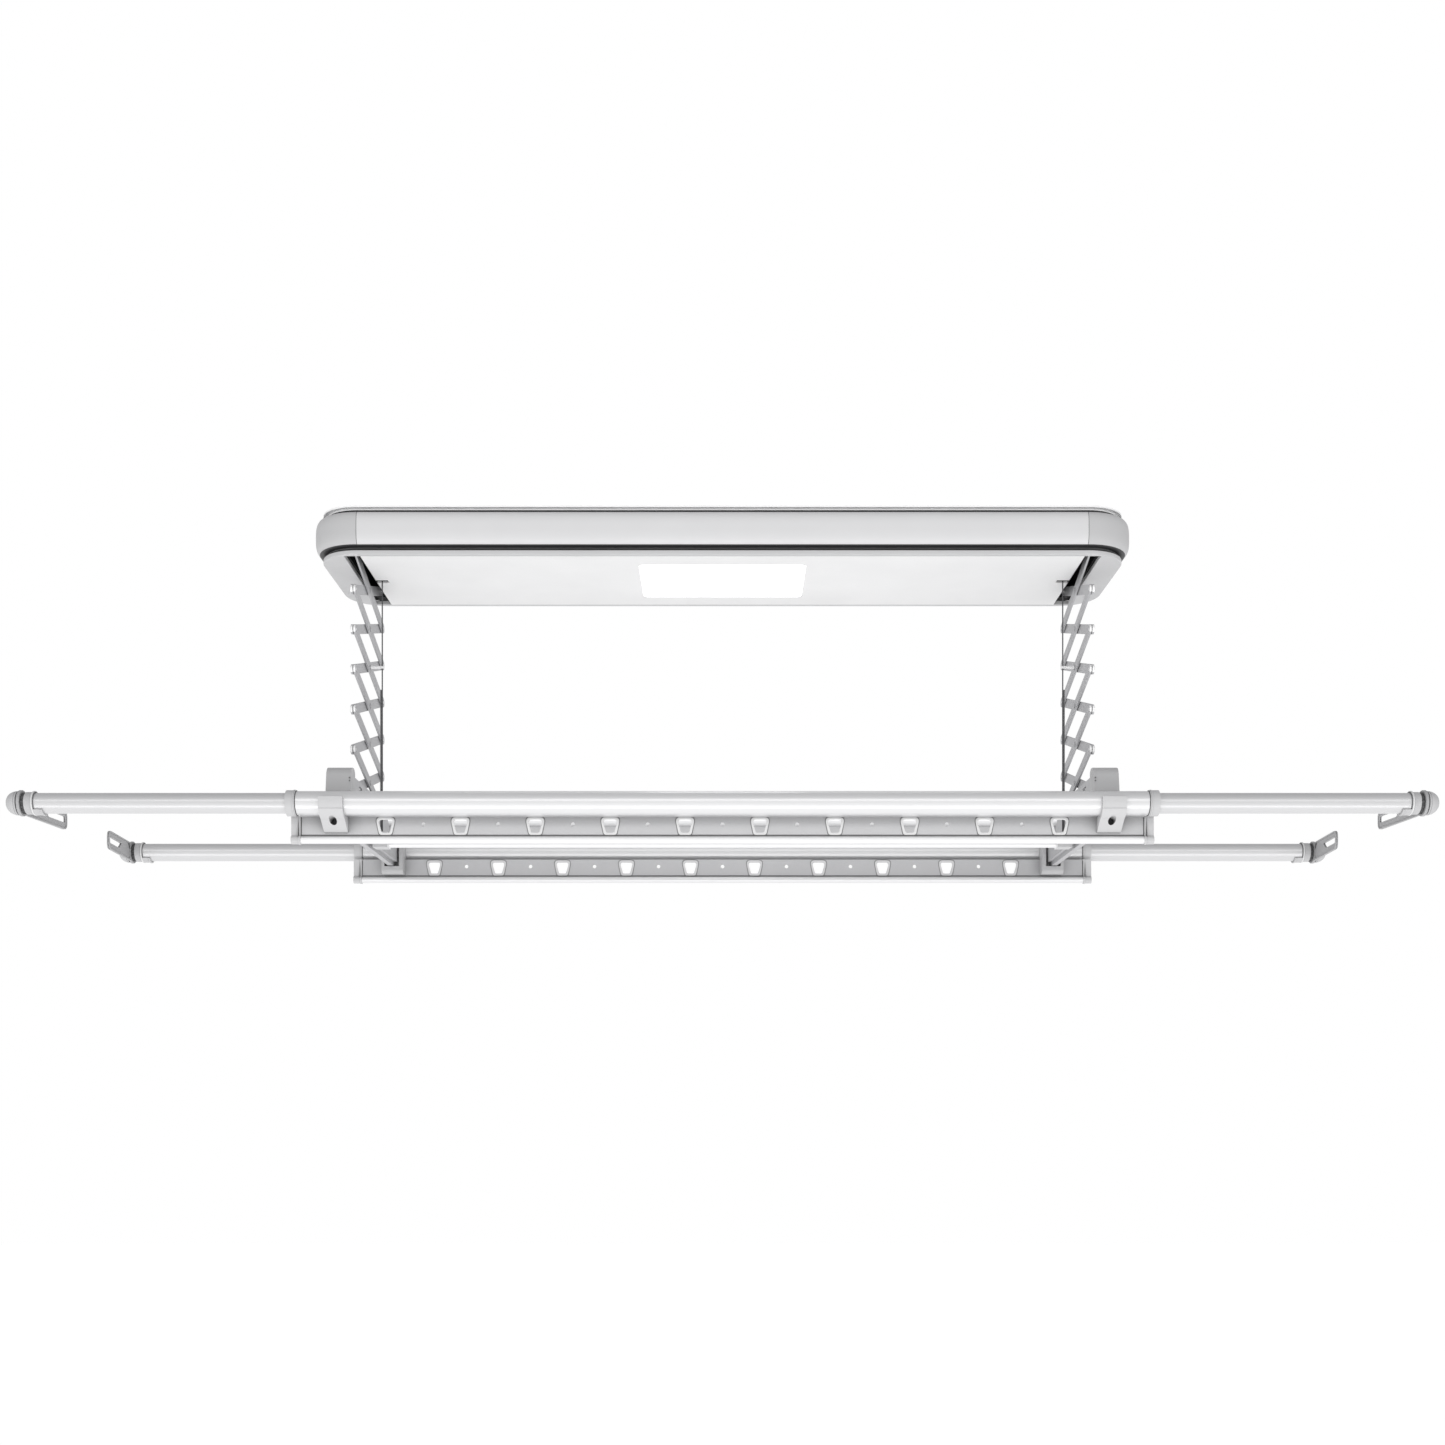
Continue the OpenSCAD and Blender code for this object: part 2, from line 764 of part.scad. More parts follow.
module web_end_caps() {
    cap_x0 = web_half - 5;
    color("gainsboro") both_rails() both_ends() difference() {
        union() {
            yz_plate(cap_x0, 16) cap_outline(cap_wall);
            yz_plate(cap_x0, cap_rim_w) cap_outline(cap_wall + cap_rim_h);
        }
        yz_plate(cap_x0 - 1, web_half - cap_x0 + 1) web_outline(false);
    }
}

module tube_collars() {
    color("whitesmoke") both_rails() both_ends() difference() {
        union() {
            x_rod(collar_x0, collar_x1, collar_r, tube_y, tube_z);
            x_rod(collar_x0 + 2, collar_x0 + 4, collar_r + 0.7, tube_y, tube_z);
        }
        x_rod(collar_x0 - 1, rail_half, tube_r, tube_y, tube_z);
        x_rod(rail_half - 1, collar_x1 + 1, ext_r + 0.08, tube_y, tube_z);
    }
}

// ---------- ropes ----------

function unit(v) = v / norm(v);

function tube_ring(p, t, r) =
    let (n = unit(cross(t, [0, 1, 0])), b = unit(cross(n, t)))
    [for (i = [0:rope_sides - 1]) p + r * (cos(360 * i / rope_sides) * n
        + sin(360 * i / rope_sides) * b)];

module swept_rope(path, r) {
    m = len(path);
    rings = [for (i = [0:m - 1])
        let (t = unit(path[min(i + 1, m - 1)] - path[max(i - 1, 0)])) tube_ring(path[i], t, r)];
    points = [for (ring = rings) each ring];
    sides = [for (i = [0:m - 2], j = [0:rope_sides - 1])
        let (a = i * rope_sides + j, b = i * rope_sides + (j + 1) % rope_sides)
        [a, a + rope_sides, b + rope_sides, b]];
    first = [for (j = [0:rope_sides - 1]) j];
    last = [for (j = [rope_sides - 1:-1:0]) (m - 1) * rope_sides + j];
    polyhedron(points, concat(sides, [first, last]), convexity = 4);
}

// Route of one rope: from the drum to the sheave, over it and down to its anchor
function rope_route(lead_y, lead_z) = concat(
    [[0, lead_y, lead_z], [rope_lead_y * 50, lead_y / 2, (lead_z + sheave_z + sheave_r) / 2]],
    [for (p = arc_pts(sheave_x, sheave_z, sheave_r, 90, 0, 6)) [p[0], 0, p[1]]],
    [[rope_x, 0, -85], [rope_x, 0, -241], [rope_x, 0, -400], [rope_x, 0, rope_end_z]]);

function rope_tail() =
    [[rope_tail_x, 0, rope_end_z], [rope_tail_x, 0, -400], [rope_tail_x, 0, rope_tail_z]];

module lift_ropes() {
    color([0.25, 0.25, 0.27]) {
        swept_rope(rope_route(rope_lead_y, drum_z + drum_r), rope_d / 2);
        mirror([1, 0, 0]) swept_rope(rope_route(-rope_lead_y, drum_z - drum_r), rope_d / 2);
        both_ends() swept_rope(rope_tail(), rope_d / 2);
    }
}

// ---------- pull-out tubes and end hooks, drawn for the rear right corner ----------

module ext_tube() {
    color("silver") union() {
        difference() {
            x_rod(ext_inner_x, ext_end_x, ext_r, tube_y, tube_z);
            x_rod(ext_inner_x + 12, ext_end_x + 1, ext_r - ext_wall, tube_y, tube_z);
        }
        x_rod(ext_inner_x, ext_inner_x + 12, tube_r - tube_wall - 0.08, tube_y, tube_z);
    }
}

function dome_profile(n) =
    [for (i = [0:n]) let (a = 90 * i / n) [20 * pow(cos(a), 0.8), dome_len * sin(a)]];

// Saddle under the pull-out tube, from its lowest point up to lug_angle on either side
module lug_outline(r) {
    reach = 2 * tube_r;
    side = reach * [sin(lug_angle), -cos(lug_angle)];
    translate([tube_y, tube_z]) difference() {
        intersection() {
            circle(r);
            polygon([[0, 0], [-side[0], side[1]], [0, -1.5 * reach], side]);
        }
        circle(ext_r + 0.3);
    }
}

module ext_tip() {
    color("whitesmoke") union() {
        x_rod(tip_x0, tip_x1, collar_mid_r, tube_y, tube_z);
        for (x = [tip_x0, tip_x1 - 3]) x_rod(x, x + 3, tube_r, tube_y, tube_z);
        x_rod(tip_x0 - 30, tip_x0 + eps, ext_r - ext_wall - 0.05, tube_y, tube_z);
        yz_plate(tip_x0 - lug_len, lug_len + 1) lug_outline(tube_r);
        yz_plate(tip_x0 - lug_len, 3) lug_outline(tube_r + 1);
        x_rod(tip_x1 - 1, dome_x0 + 1, spigot_r, tube_y, tube_z);
        translate([dome_x0, tube_y, tube_z]) rotate([0, 90, 0]) rotate_extrude()
            polygon(concat([[0, 0]], dome_profile(10)));
    }
}

// Outline of a hook seen along the tube axis: ring, blade and slot
module hook_outline() {
    slot_x0 = -hook_len + hook_slot_margin;
    slot_x1 = slot_x0 + hook_slot_len;
    half_w = hook_w / 2;
    half_slot = hook_slot_w / 2;
    difference() {
        union() {
            circle(hook_ring_r);
            polygon(round_poly([[0, -half_w], [0, half_w], [-hook_len, half_w], [-hook_len, -half_w]],
                [0.2, 0.2, 9, 9]));
        }
        circle(spigot_r + hook_play);
        polygon(round_poly([[slot_x1, -half_slot], [slot_x1 + 8, 0], [slot_x1, half_slot],
            [slot_x0, half_slot], [slot_x0, -half_slot]], [2, 2, 2, 3, 3]));
    }
}

// The bent strip that a hook is cut from, seen from above: it leans inwards past the bend
module hook_strip() {
    blade_y = hook_len + 1 - hook_bend_y;
    lean_x = blade_y * tan(hook_lean);
    polygon([[ring_x0, hook_ring_r + 1], [ring_x1, hook_ring_r + 1], [ring_x1, -hook_bend_y],
        [ring_x1 - lean_x, -hook_bend_y - blade_y], [ring_x0 - lean_x, -hook_bend_y - blade_y],
        [ring_x0, -hook_bend_y]]);
}

module ext_hook() {
    color("lightgray") translate([0, tube_y, tube_z]) intersection() {
        translate([0, 0, -hook_w]) linear_extrude(2 * hook_w) hook_strip();
        yz_plate(tip_x0, dome_x0 - tip_x0) hook_outline();
    }
}

module front_left_tube() { mirror([1, 0, 0]) mirror([0, 1, 0]) ext_tube(); }
module front_left_tip() { mirror([1, 0, 0]) mirror([0, 1, 0]) ext_tip(); }
module front_left_hook() { mirror([1, 0, 0]) mirror([0, 1, 0]) ext_hook(); }
module front_right_tube() { mirror([0, 1, 0]) ext_tube(); }
module front_right_tip() { mirror([0, 1, 0]) ext_tip(); }
module front_right_hook() { mirror([0, 1, 0]) ext_hook(); }
module rear_left_tube() { mirror([1, 0, 0]) ext_tube(); }
module rear_left_tip() { mirror([1, 0, 0]) ext_tip(); }
module rear_left_hook() { mirror([1, 0, 0]) ext_hook(); }
module rear_right_tube() { ext_tube(); }
module rear_right_tip() { ext_tip(); }
module rear_right_hook() { ext_hook(); }

chassis_tray();
side_bands();
left_end_cover();
right_end_cover();
groove_seals();
bottom_frame();
bottom_panel();
light_diffuser();
led_board();
gear_motor();
drum_bearings();
sheave_brackets();
control_unit();
scissor_hangers();
housing_screws();
rope_drum();
left_sheave();
right_sheave();
crossing_pins(1);  // crossing_pins_1
crossing_pins(2);  // crossing_pins_2
crossing_pins(3);  // crossing_pins_3
crossing_pins(4);  // crossing_pins_4
crossing_pins(5);  // crossing_pins_5
crossing_pins(6);  // crossing_pins_6
inner_arms(1);  // inner_arms_1
inner_arms(2);  // inner_arms_2
inner_arms(3);  // inner_arms_3
inner_arms(4);  // inner_arms_4
inner_arms(5);  // inner_arms_5
inner_arms(6);  // inner_arms_6
outer_arms(1);  // outer_arms_1
outer_arms(2);  // outer_arms_2
outer_arms(3);  // outer_arms_3
outer_arms(4);  // outer_arms_4
outer_arms(5);  // outer_arms_5
outer_arms(6);  // outer_arms_6
front_web();
rear_web();
rail_tubes();
cross_arms();
mid_bar();
hanger_trims();
clamps();
clamp_screws();
end_blocks();
web_end_caps();
tube_collars();
lift_ropes();
front_left_tube();
front_left_tip();
front_left_hook();
front_right_tube();
front_right_tip();
front_right_hook();
rear_left_tube();
rear_left_tip();
rear_left_hook();
rear_right_tube();
rear_right_tip();
rear_right_hook();
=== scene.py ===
"""Visual model of the ceiling clothes-drying rack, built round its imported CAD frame."""

import json
import math

import bmesh
import bpy
from mathutils import Matrix, Vector

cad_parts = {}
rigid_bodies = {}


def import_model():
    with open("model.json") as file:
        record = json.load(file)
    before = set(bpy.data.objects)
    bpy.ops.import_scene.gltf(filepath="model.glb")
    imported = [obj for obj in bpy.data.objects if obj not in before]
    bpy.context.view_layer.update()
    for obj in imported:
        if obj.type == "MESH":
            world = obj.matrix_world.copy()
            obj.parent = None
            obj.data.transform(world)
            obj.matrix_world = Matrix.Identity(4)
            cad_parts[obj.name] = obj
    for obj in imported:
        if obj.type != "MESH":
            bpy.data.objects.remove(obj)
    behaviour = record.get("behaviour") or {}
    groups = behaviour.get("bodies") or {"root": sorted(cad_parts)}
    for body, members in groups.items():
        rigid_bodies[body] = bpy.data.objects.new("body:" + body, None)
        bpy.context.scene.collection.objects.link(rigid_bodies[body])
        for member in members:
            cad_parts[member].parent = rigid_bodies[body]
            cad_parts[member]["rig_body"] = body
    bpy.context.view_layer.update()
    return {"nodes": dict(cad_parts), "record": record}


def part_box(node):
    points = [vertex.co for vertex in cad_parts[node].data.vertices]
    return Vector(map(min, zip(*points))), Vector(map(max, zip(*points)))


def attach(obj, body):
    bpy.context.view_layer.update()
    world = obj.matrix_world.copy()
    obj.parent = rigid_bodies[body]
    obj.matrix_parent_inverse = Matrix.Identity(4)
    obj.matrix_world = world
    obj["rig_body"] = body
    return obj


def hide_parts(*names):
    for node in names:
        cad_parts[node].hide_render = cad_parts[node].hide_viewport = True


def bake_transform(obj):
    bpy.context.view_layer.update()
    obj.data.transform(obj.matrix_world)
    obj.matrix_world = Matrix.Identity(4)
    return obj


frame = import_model()
nodes = frame["nodes"]
body_of_node = {n: o["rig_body"] for n, o in nodes.items()}
slot_of_node = {s["node"]: s["material_slot"] for s in frame["record"]["subparts"]}

# ---------------------------------------------------------------- camera

CAMERA_PLACE = (0, -3.22, -1.0513)
LENS_MM = 44.27
SHIFT_UP = 0.2716  # the camera looks level, and this brings the rack above it into the frame

cam_data = bpy.data.cameras.new("camera")
cam_data.sensor_width = 36
cam_data.lens = LENS_MM
cam_data.shift_y = SHIFT_UP
cam_data.clip_start = 0.05
cam_data.clip_end = 200
cam = bpy.data.objects.new("camera", cam_data)
cam.location = CAMERA_PLACE
cam.rotation_euler = (math.radians(90), 0, 0)
bpy.context.scene.collection.objects.link(cam)
bpy.context.scene.camera = cam

# ---------------------------------------------------------------- materials


def new_material(name):
    m = bpy.data.materials.new(name)
    m.use_nodes = True
    nt = m.node_tree
    shader = nt.nodes["Principled BSDF"]
    coord = nt.nodes.new("ShaderNodeTexCoord")
    return m, nt, shader, coord


def noise(nt, coord, scale, stretch=(1, 1, 1), detail=3.0, rough=0.55):
    """A noise value over the object's own space, in features per metre, stretched by axis."""
    place = nt.nodes.new("ShaderNodeMapping")
    place.inputs["Scale"].default_value = stretch
    nt.links.new(coord.outputs["Object"], place.inputs["Vector"])
    tex = nt.nodes.new("ShaderNodeTexNoise")
    tex.inputs["Scale"].default_value = scale
    tex.inputs["Detail"].default_value = detail
    tex.inputs["Roughness"].default_value = rough
    nt.links.new(place.outputs["Vector"], tex.inputs["Vector"])
    return tex.outputs["Fac"]


def ranged(nt, value, low, high, from_low=0.3, from_high=0.7):
    """The value from from_low to from_high, spread over low to high."""
    m = nt.nodes.new("ShaderNodeMapRange")
    m.inputs["From Min"].default_value = from_low
    m.inputs["From Max"].default_value = from_high
    m.inputs["To Min"].default_value = low
    m.inputs["To Max"].default_value = high
    nt.links.new(value, m.inputs["Value"])
    return m.outputs["Result"]


def mixed(nt, factor, a, b):
    """A colour between a and b, each a socket or three numbers."""
    m = nt.nodes.new("ShaderNodeMix")
    m.data_type = "RGBA"
    nt.links.new(factor, m.inputs["Factor"])
    for socket, c in ((m.inputs["A"], a), (m.inputs["B"], b)):
        if isinstance(c, tuple):
            socket.default_value = (*c, 1)
        else:
            nt.links.new(c, socket)
    return m.outputs["Result"]


def bumped(nt, height, strength, distance, under=None):
    """A normal bumped by the height, on top of the normal under it if there is one."""
    b = nt.nodes.new("ShaderNodeBump")
    b.inputs["Strength"].default_value = strength
    b.inputs["Distance"].default_value = distance
    nt.links.new(height, b.inputs["Height"])
    if under is not None:
        nt.links.new(under, b.inputs["Normal"])
    return b.outputs["Normal"]


def with_painted_shade(nt, tone, amount, reach):
    """The colour with painted shade, darker in corners and gaps narrower than reach."""
    gap = nt.nodes.new("ShaderNodeAmbientOcclusion")
    gap.samples = 8
    gap.inputs["Distance"].default_value = reach
    m = nt.nodes.new("ShaderNodeMix")
    m.data_type = "RGBA"
    m.blend_type = "MULTIPLY"
    m.inputs["Factor"].default_value = 1
    nt.links.new(tone, m.inputs["A"])
    nt.links.new(ranged(nt, gap.outputs["AO"], 1 - amount, 1, 0.3, 0.95), m.inputs["B"])
    return m.outputs["Result"]


# Sizes of a finish's patterns in features per metre, and the depths of its bumps
CLOUD, SMUDGE, WAVE = 7, 23, 60
GRAIN_DEPTH, WAVE_DEPTH = 0.0001, 0.0003


def finish(name, color, rough, metallic=0.0, spread=0.05, grain=900, grain_bump=0.25,
           stretch=(1, 1, 1), wave=0.0, edge=0.12, coat=0.0, specular=0.5, rough_spread=0.06,
           painted_shade=0.35, reach=0.02):
    """A solid finish: cloudy colour, fine grain in bump and roughness, lighter sharp edges and
    painted shade in corners.
    """
    m, nt, shader, coord = new_material(name)
    cloud = noise(nt, coord, CLOUD, detail=4)
    fine = noise(nt, coord, grain, stretch, detail=2)
    dark = tuple(c * (1 - spread) for c in color)
    light = tuple(min(1, c * (1 + spread)) for c in color)
    tone = mixed(nt, ranged(nt, cloud, 0, 1), dark, light)
    tone = mixed(nt, ranged(nt, fine, 0, 0.5), tone, tuple(c * (1 - 1.6 * spread) for c in color))
    if edge:
        geo = nt.nodes.new("ShaderNodeNewGeometry")
        sharp_edges = ranged(nt, geo.outputs["Pointiness"], 0, edge, 0.52, 0.62)
        tone = mixed(nt, sharp_edges, tone, tuple(min(1, c * 1.35 + 0.06) for c in color))
    # Painted shade: ambient occlusion darkens the colour near other surfaces.
    if painted_shade:
        tone = with_painted_shade(nt, tone, painted_shade, reach)
    nt.links.new(tone, shader.inputs["Base Color"])
    smudge = noise(nt, coord, SMUDGE, detail=5)
    nt.links.new(ranged(nt, smudge, rough - rough_spread, rough + rough_spread),
                 shader.inputs["Roughness"])
    shader.inputs["Metallic"].default_value = metallic
    shader.inputs["Specular IOR Level"].default_value = specular
    shader.inputs["Coat Weight"].default_value = coat
    normal = bumped(nt, fine, grain_bump, GRAIN_DEPTH)
    if wave:
        normal = bumped(nt, noise(nt, coord, WAVE, detail=2), wave, WAVE_DEPTH, normal)
    nt.links.new(normal, shader.inputs["Normal"])
    return m


def glowing(name):
    """Opal light panel: even white glow with a faint falloff cloud and a prismatic grain."""
    m, nt, shader, coord = new_material(name)
    cloud = noise(nt, coord, 9, detail=2)
    fine = noise(nt, coord, 1400, detail=1)
    tone = mixed(nt, ranged(nt, cloud, 0, 1), (0.93, 0.94, 0.95), (1.0, 1.0, 1.0))
    nt.links.new(tone, shader.inputs["Base Color"])
    nt.links.new(tone, shader.inputs["Emission Color"])
    shader.inputs["Emission Strength"].default_value = 1.1
    nt.links.new(ranged(nt, fine, 0.3, 0.45), shader.inputs["Roughness"])
    nt.links.new(bumped(nt, fine, 0.2, 0.00008), shader.inputs["Normal"])
    return m


ALONG = (0.02, 1, 1)  # streaks that run along X, as an extrusion die leaves them

FINISHES = {
    "white_panel_plastic": dict(color=(0.85, 0.85, 0.85), rough=0.6, spread=0.03, grain=330,
                                grain_bump=0.5, edge=0.0, wave=0.03, painted_shade=0.45, reach=0.05),
    "grey_coated_alloy": dict(color=(0.58, 0.58, 0.585), rough=0.5, metallic=0.05, spread=0.03,
                              grain=700),
    "anodised_band": dict(color=(0.68, 0.68, 0.685), rough=0.55, metallic=0.12, spread=0.012,
                          grain=1100, grain_bump=0.12, painted_shade=0.2),
    "anodised_tube": dict(color=(0.76, 0.76, 0.765), rough=0.30, metallic=0.36, spread=0.008,
                          grain=1500, grain_bump=0.01, stretch=ALONG, rough_spread=0.015, painted_shade=0),
    "pull_tube": dict(color=(0.66, 0.66, 0.665), rough=0.32, metallic=0.34, spread=0.008,
                      grain=1500, grain_bump=0.01, stretch=ALONG, rough_spread=0.015, painted_shade=0),
    # Brighter copy of the tube finish for the beads: painted light where the light from below
    # falls on them.
    "lit_bead": dict(color=(0.86, 0.86, 0.865), rough=0.4, metallic=0.4, spread=0.01,
                        grain=1500, grain_bump=0.02, stretch=ALONG, rough_spread=0.02, painted_shade=0),
    "anodised_web": dict(color=(0.58, 0.58, 0.588), rough=0.55, metallic=0.12, spread=0.03,
                         grain=650, grain_bump=0.2, painted_shade=0.45, reach=0.028),
    # Darker copy of the web finish for the rear web: painted shade on the rail's inner side.
    "shaded_rear_web": dict(color=(0.48, 0.48, 0.488), rough=0.55, metallic=0.12, spread=0.03,
                           grain=650, grain_bump=0.2, reach=0.028),
    # Dark grey used only as painted shade: the line above the web's bead, the ring before each
    # tip's collar and the outlines round the hanger rings.
    "shade_alloy": dict(color=(0.20, 0.20, 0.203), rough=0.6, metallic=0.1, spread=0.03, grain=650,
                       grain_bump=0.2),
    "seam_rubber": dict(color=(0.085, 0.085, 0.087), rough=0.65, spread=0.1, grain=1600,
                        grain_bump=0.3),
    "lit_rubber": dict(color=(0.30, 0.30, 0.303), rough=0.65, grain=1600, grain_bump=0.3),
    "scissor_alloy": dict(color=(0.46, 0.46, 0.47), rough=0.45, metallic=0.2, spread=0.02,
                          grain=800, grain_bump=0.15, painted_shade=0.12, reach=0.008),
    # Near-white: partly the polished pins' own brightness, partly painted sheen standing in for
    # their reflection.
    "pin_steel": dict(color=(0.95, 0.95, 0.95), rough=0.3, metallic=0.2, spread=0.02, grain=1100,
                      grain_bump=0.05, painted_shade=0),
    "grey_plastic": dict(color=(0.53, 0.53, 0.535), rough=0.5, spread=0.010, grain=1300,
                         grain_bump=0.04, painted_shade=0.4, reach=0.006),
    "block_plastic": dict(color=(0.46, 0.46, 0.465), rough=0.42, spread=0.015, grain=1300,
                          grain_bump=0.08, painted_shade=0.3, reach=0.010),
    # Darker grey for the hooks: partly their own tone, partly painted shade where they hang in
    # shadow.
    "shaded_hook_plastic": dict(color=(0.42, 0.42, 0.425), rough=0.5, spread=0.015, grain=1300,
                         grain_bump=0.12, reach=0.007),
    "light_grey_plastic": dict(color=(0.60, 0.60, 0.605), rough=0.45, spread=0.015, grain=1300,
                               grain_bump=0.12, painted_shade=0.45, reach=0.012),
    "cap_plastic": dict(color=(0.57, 0.57, 0.575), rough=0.45, spread=0.015, grain=1300,
                        grain_bump=0.12, painted_shade=0.45, reach=0.010),
    "pale_trim_plastic": dict(color=(0.74, 0.74, 0.74), rough=0.4, spread=0.015, grain=1500,
                              grain_bump=0.12, painted_shade=0.4, reach=0.006),
    "lit_trim": dict(color=(0.95, 0.95, 0.955), rough=0.5, spread=0.02, grain=700, grain_bump=0.15,
                     painted_shade=0),
    "shadow_plastic": dict(color=(0.10, 0.10, 0.102), rough=0.5, spread=0.1, grain=1100,
                           grain_bump=0.2),
    "black_rubber": dict(color=(0.040, 0.040, 0.042), rough=0.65, spread=0.2, grain=1600,
                         grain_bump=0.5),
    "board": dict(color=(0.80, 0.80, 0.74), rough=0.5, spread=0.06, grain=500, grain_bump=0.2),
    "motor_steel": dict(color=(0.016, 0.016, 0.017), rough=0.6, metallic=0.2, spread=0.15,
                        grain=500, grain_bump=0.4, edge=0.02, specular=0.2),
    "black_plastic": dict(color=(0.03, 0.03, 0.032), rough=0.5, spread=0.15, grain=1100,
                          grain_bump=0.4),
    "wire_rope": dict(color=(0.08, 0.08, 0.083), rough=0.5, metallic=0.15, spread=0.12, grain=1800,
                      grain_bump=0.2),
    "rope_tail_steel": dict(color=(0.19, 0.19, 0.194), rough=0.5, metallic=0.15, spread=0.12,
                            grain=1800, grain_bump=0.2),
    "dark_steel": dict(color=(0.05, 0.05, 0.053), rough=0.45, metallic=0.6, spread=0.15,
                       grain_bump=0.3),
}
MATERIALS = {name: finish(name, **look) for name, look in FINISHES.items()}
MATERIALS["opal_diffuser"] = glowing("opal_diffuser")

# Nodes whose finish is lighter or darker than the rest of their slot
FINISH_OF_NODE = {"chassis_tray": "lit_trim", "end_blocks": "block_plastic",
                  "web_end_caps": "cap_plastic", "tube_collars": "cap_plastic",
                  "rear_web": "shaded_rear_web", "mid_bar": "anodised_tube"}

# ---------------------------------------------------------------- mesh helpers


def link(name, mesh, material, body, angle):
    """A smooth-shaded object of one material that rides on its body, if it has one."""
    obj = bpy.data.objects.new(name, mesh)
    bpy.context.scene.collection.objects.link(obj)
    indices = [p.material_index for p in mesh.polygons]
    mesh.materials.clear()
    mesh.materials.append(material)
    for p, index in zip(mesh.polygons, indices):
        p.use_smooth = True
        p.material_index = index
    mesh.set_sharp_from_angle(angle=math.radians(angle))
    if body:
        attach(obj, body)
    return obj


def clean_copy(node, width, segments, sharp=32):
    """The node's shape as one clean mesh, with its edges sharper than that angle rounded."""
    bm = bmesh.new()
    bm.from_mesh(nodes[node].data)
    bmesh.ops.remove_doubles(bm, verts=bm.verts, dist=2e-6)
    bmesh.ops.dissolve_limit(bm, angle_limit=math.radians(0.6), verts=bm.verts, edges=bm.edges)
    hard = [e for e in bm.edges
            if len(e.link_faces) == 2 and e.calc_face_angle(0) > math.radians(sharp)]
    bmesh.ops.bevel(bm, geom=hard, offset=width, offset_type="OFFSET", segments=segments,
                    profile=0.5, affect="EDGES", clamp_overlap=True, harden_normals=False)
    return bm


def settled(obj):
    """Flat faces keep flat shading right up to their rounded edges."""
    m = obj.modifiers.new("normals", "WEIGHTED_NORMAL")
    m.keep_sharp = True
    m.weight = 80
    return obj


def refined(node, width, segments=2, paint=(), heights=()):
    """A finished piece in place of the node. paint is (material, test on a face's middle) and
    heights are where its faces are split so that a tone can end there."""
    bm = clean_copy(node, width, segments)
    for z in heights:
        bmesh.ops.bisect_plane(bm, geom=bm.verts[:] + bm.edges[:] + bm.faces[:], dist=1e-6,
                               plane_co=(0, 0, z), plane_no=(0, 0, 1))
    bm.normal_update()
    for index, (_, test) in enumerate(paint, 1):
        for f in bm.faces:
            if test(f.calc_center_median(), f.normal):
                f.material_index = index
    mesh = bpy.data.meshes.new(node + "_shell")
    bm.to_mesh(mesh)
    bm.free()
    slot = slot_of_node[node]
    material = MATERIALS[FINISH_OF_NODE.get(node, slot)]
    piece = settled(link(node + "_shell", mesh, material, body_of_node[node], 30))
    for other, _ in paint:
        mesh.materials.append(MATERIALS[other])
    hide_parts(node)
    return piece


def bottom_of(node):
    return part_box(node)[0][2]


# Radius of the rounded edges of each node that is shown as a clean copy
EDGE_WIDTHS = {
    "chassis_tray": 0.0006, "side_bands": 0.0005, "left_end_cover": 0.0005,
    "right_end_cover": 0.0005, "groove_seals": 0.0008, "bottom_frame": 0.0012,
    "bottom_panel": 0.0008, "light_diffuser": 0.0004, "front_web": 0.0005, "rear_web": 0.0005,
    "rail_tubes": 0.0004, "cross_arms": 0.0006, "mid_bar": 0.0004,
    "clamps": 0.0010, "end_blocks": 0.0012, "web_end_caps": 0.0010, "tube_collars": 0.0006,
}
CORNERS = [f"{a}_{b}" for a in ("front", "rear") for b in ("left", "right")]

for c in CORNERS:
    EDGE_WIDTHS[c + "_tube"] = 0.0003
    FINISH_OF_NODE[c + "_tube"] = "pull_tube"

# Heights and depths where one tone ends and the next begins
BEAD_TOP = bottom_of("front_web") + 0.0128
BAR_BEAD_TOP = bottom_of("mid_bar") + 0.0130
BAR_BEAD_LIT = bottom_of("mid_bar") + 0.0066
BAR_BEAD_HALF, BAR_WEB_HALF = 0.007, 0.003
TRIM_TOP = bottom_of("bottom_frame") + 0.012
SHADE_LINE_H = 0.0022
BAR_WEB_TOP = -0.5275
BAR_END = 0.6045
BAND_LOW, BAND_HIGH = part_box("side_bands")
RIB_LOW, RIB_HIGH = BAND_LOW[2] - 0.004, BAND_LOW[2] - 0.002
LIP_LOW = BAND_LOW[2] - 0.0014
TRAY_SHADE = BAND_HIGH[2] + 0.0056


def on_bead(p, _):
    return p.z < BEAD_TOP


def on_bar_bead(p, _):
    return p.z < BAR_BEAD_LIT and abs(p.y) < BAR_BEAD_HALF and abs(p.x) < BAR_END


def on_bar_bracket(p, _):
    return abs(p.x) >= BAR_END


# Top of the mid bar's bead, painted darker as a shade line beneath the front bead.
def shaded_bar_bead_top(p, _):
    return p.z < BAR_BEAD_TOP and abs(p.y) < BAR_BEAD_HALF and abs(p.x) < BAR_END


# Inner faces of the band and covers, painted black as the shade inside the housing.
def inner_faces_in_shade(p, n):
    return n.x * p.x + n.y * p.y < -0.01 or abs(n.z) > 0.9 and p.z > TRIM_TOP


# Painted shade line on the web just above the bead.
def shade_above_bead(p, n):
    return BEAD_TOP < p.z < BEAD_TOP + SHADE_LINE_H and abs(n.y) > 0.5


def on_bar_web(p, _):
    return abs(p.y) < BAR_WEB_HALF and p.z < BAR_WEB_TOP


def lit_rib(p, _):
    return RIB_LOW < p.z < RIB_HIGH


def lit_lip(p, _):
    return LIP_LOW < p.z < RIB_HIGH + 0.01


def under_tray(p, _):
    return p.z > TRAY_SHADE


def at_cover(p, n):
    return abs(n.x) > 0.3


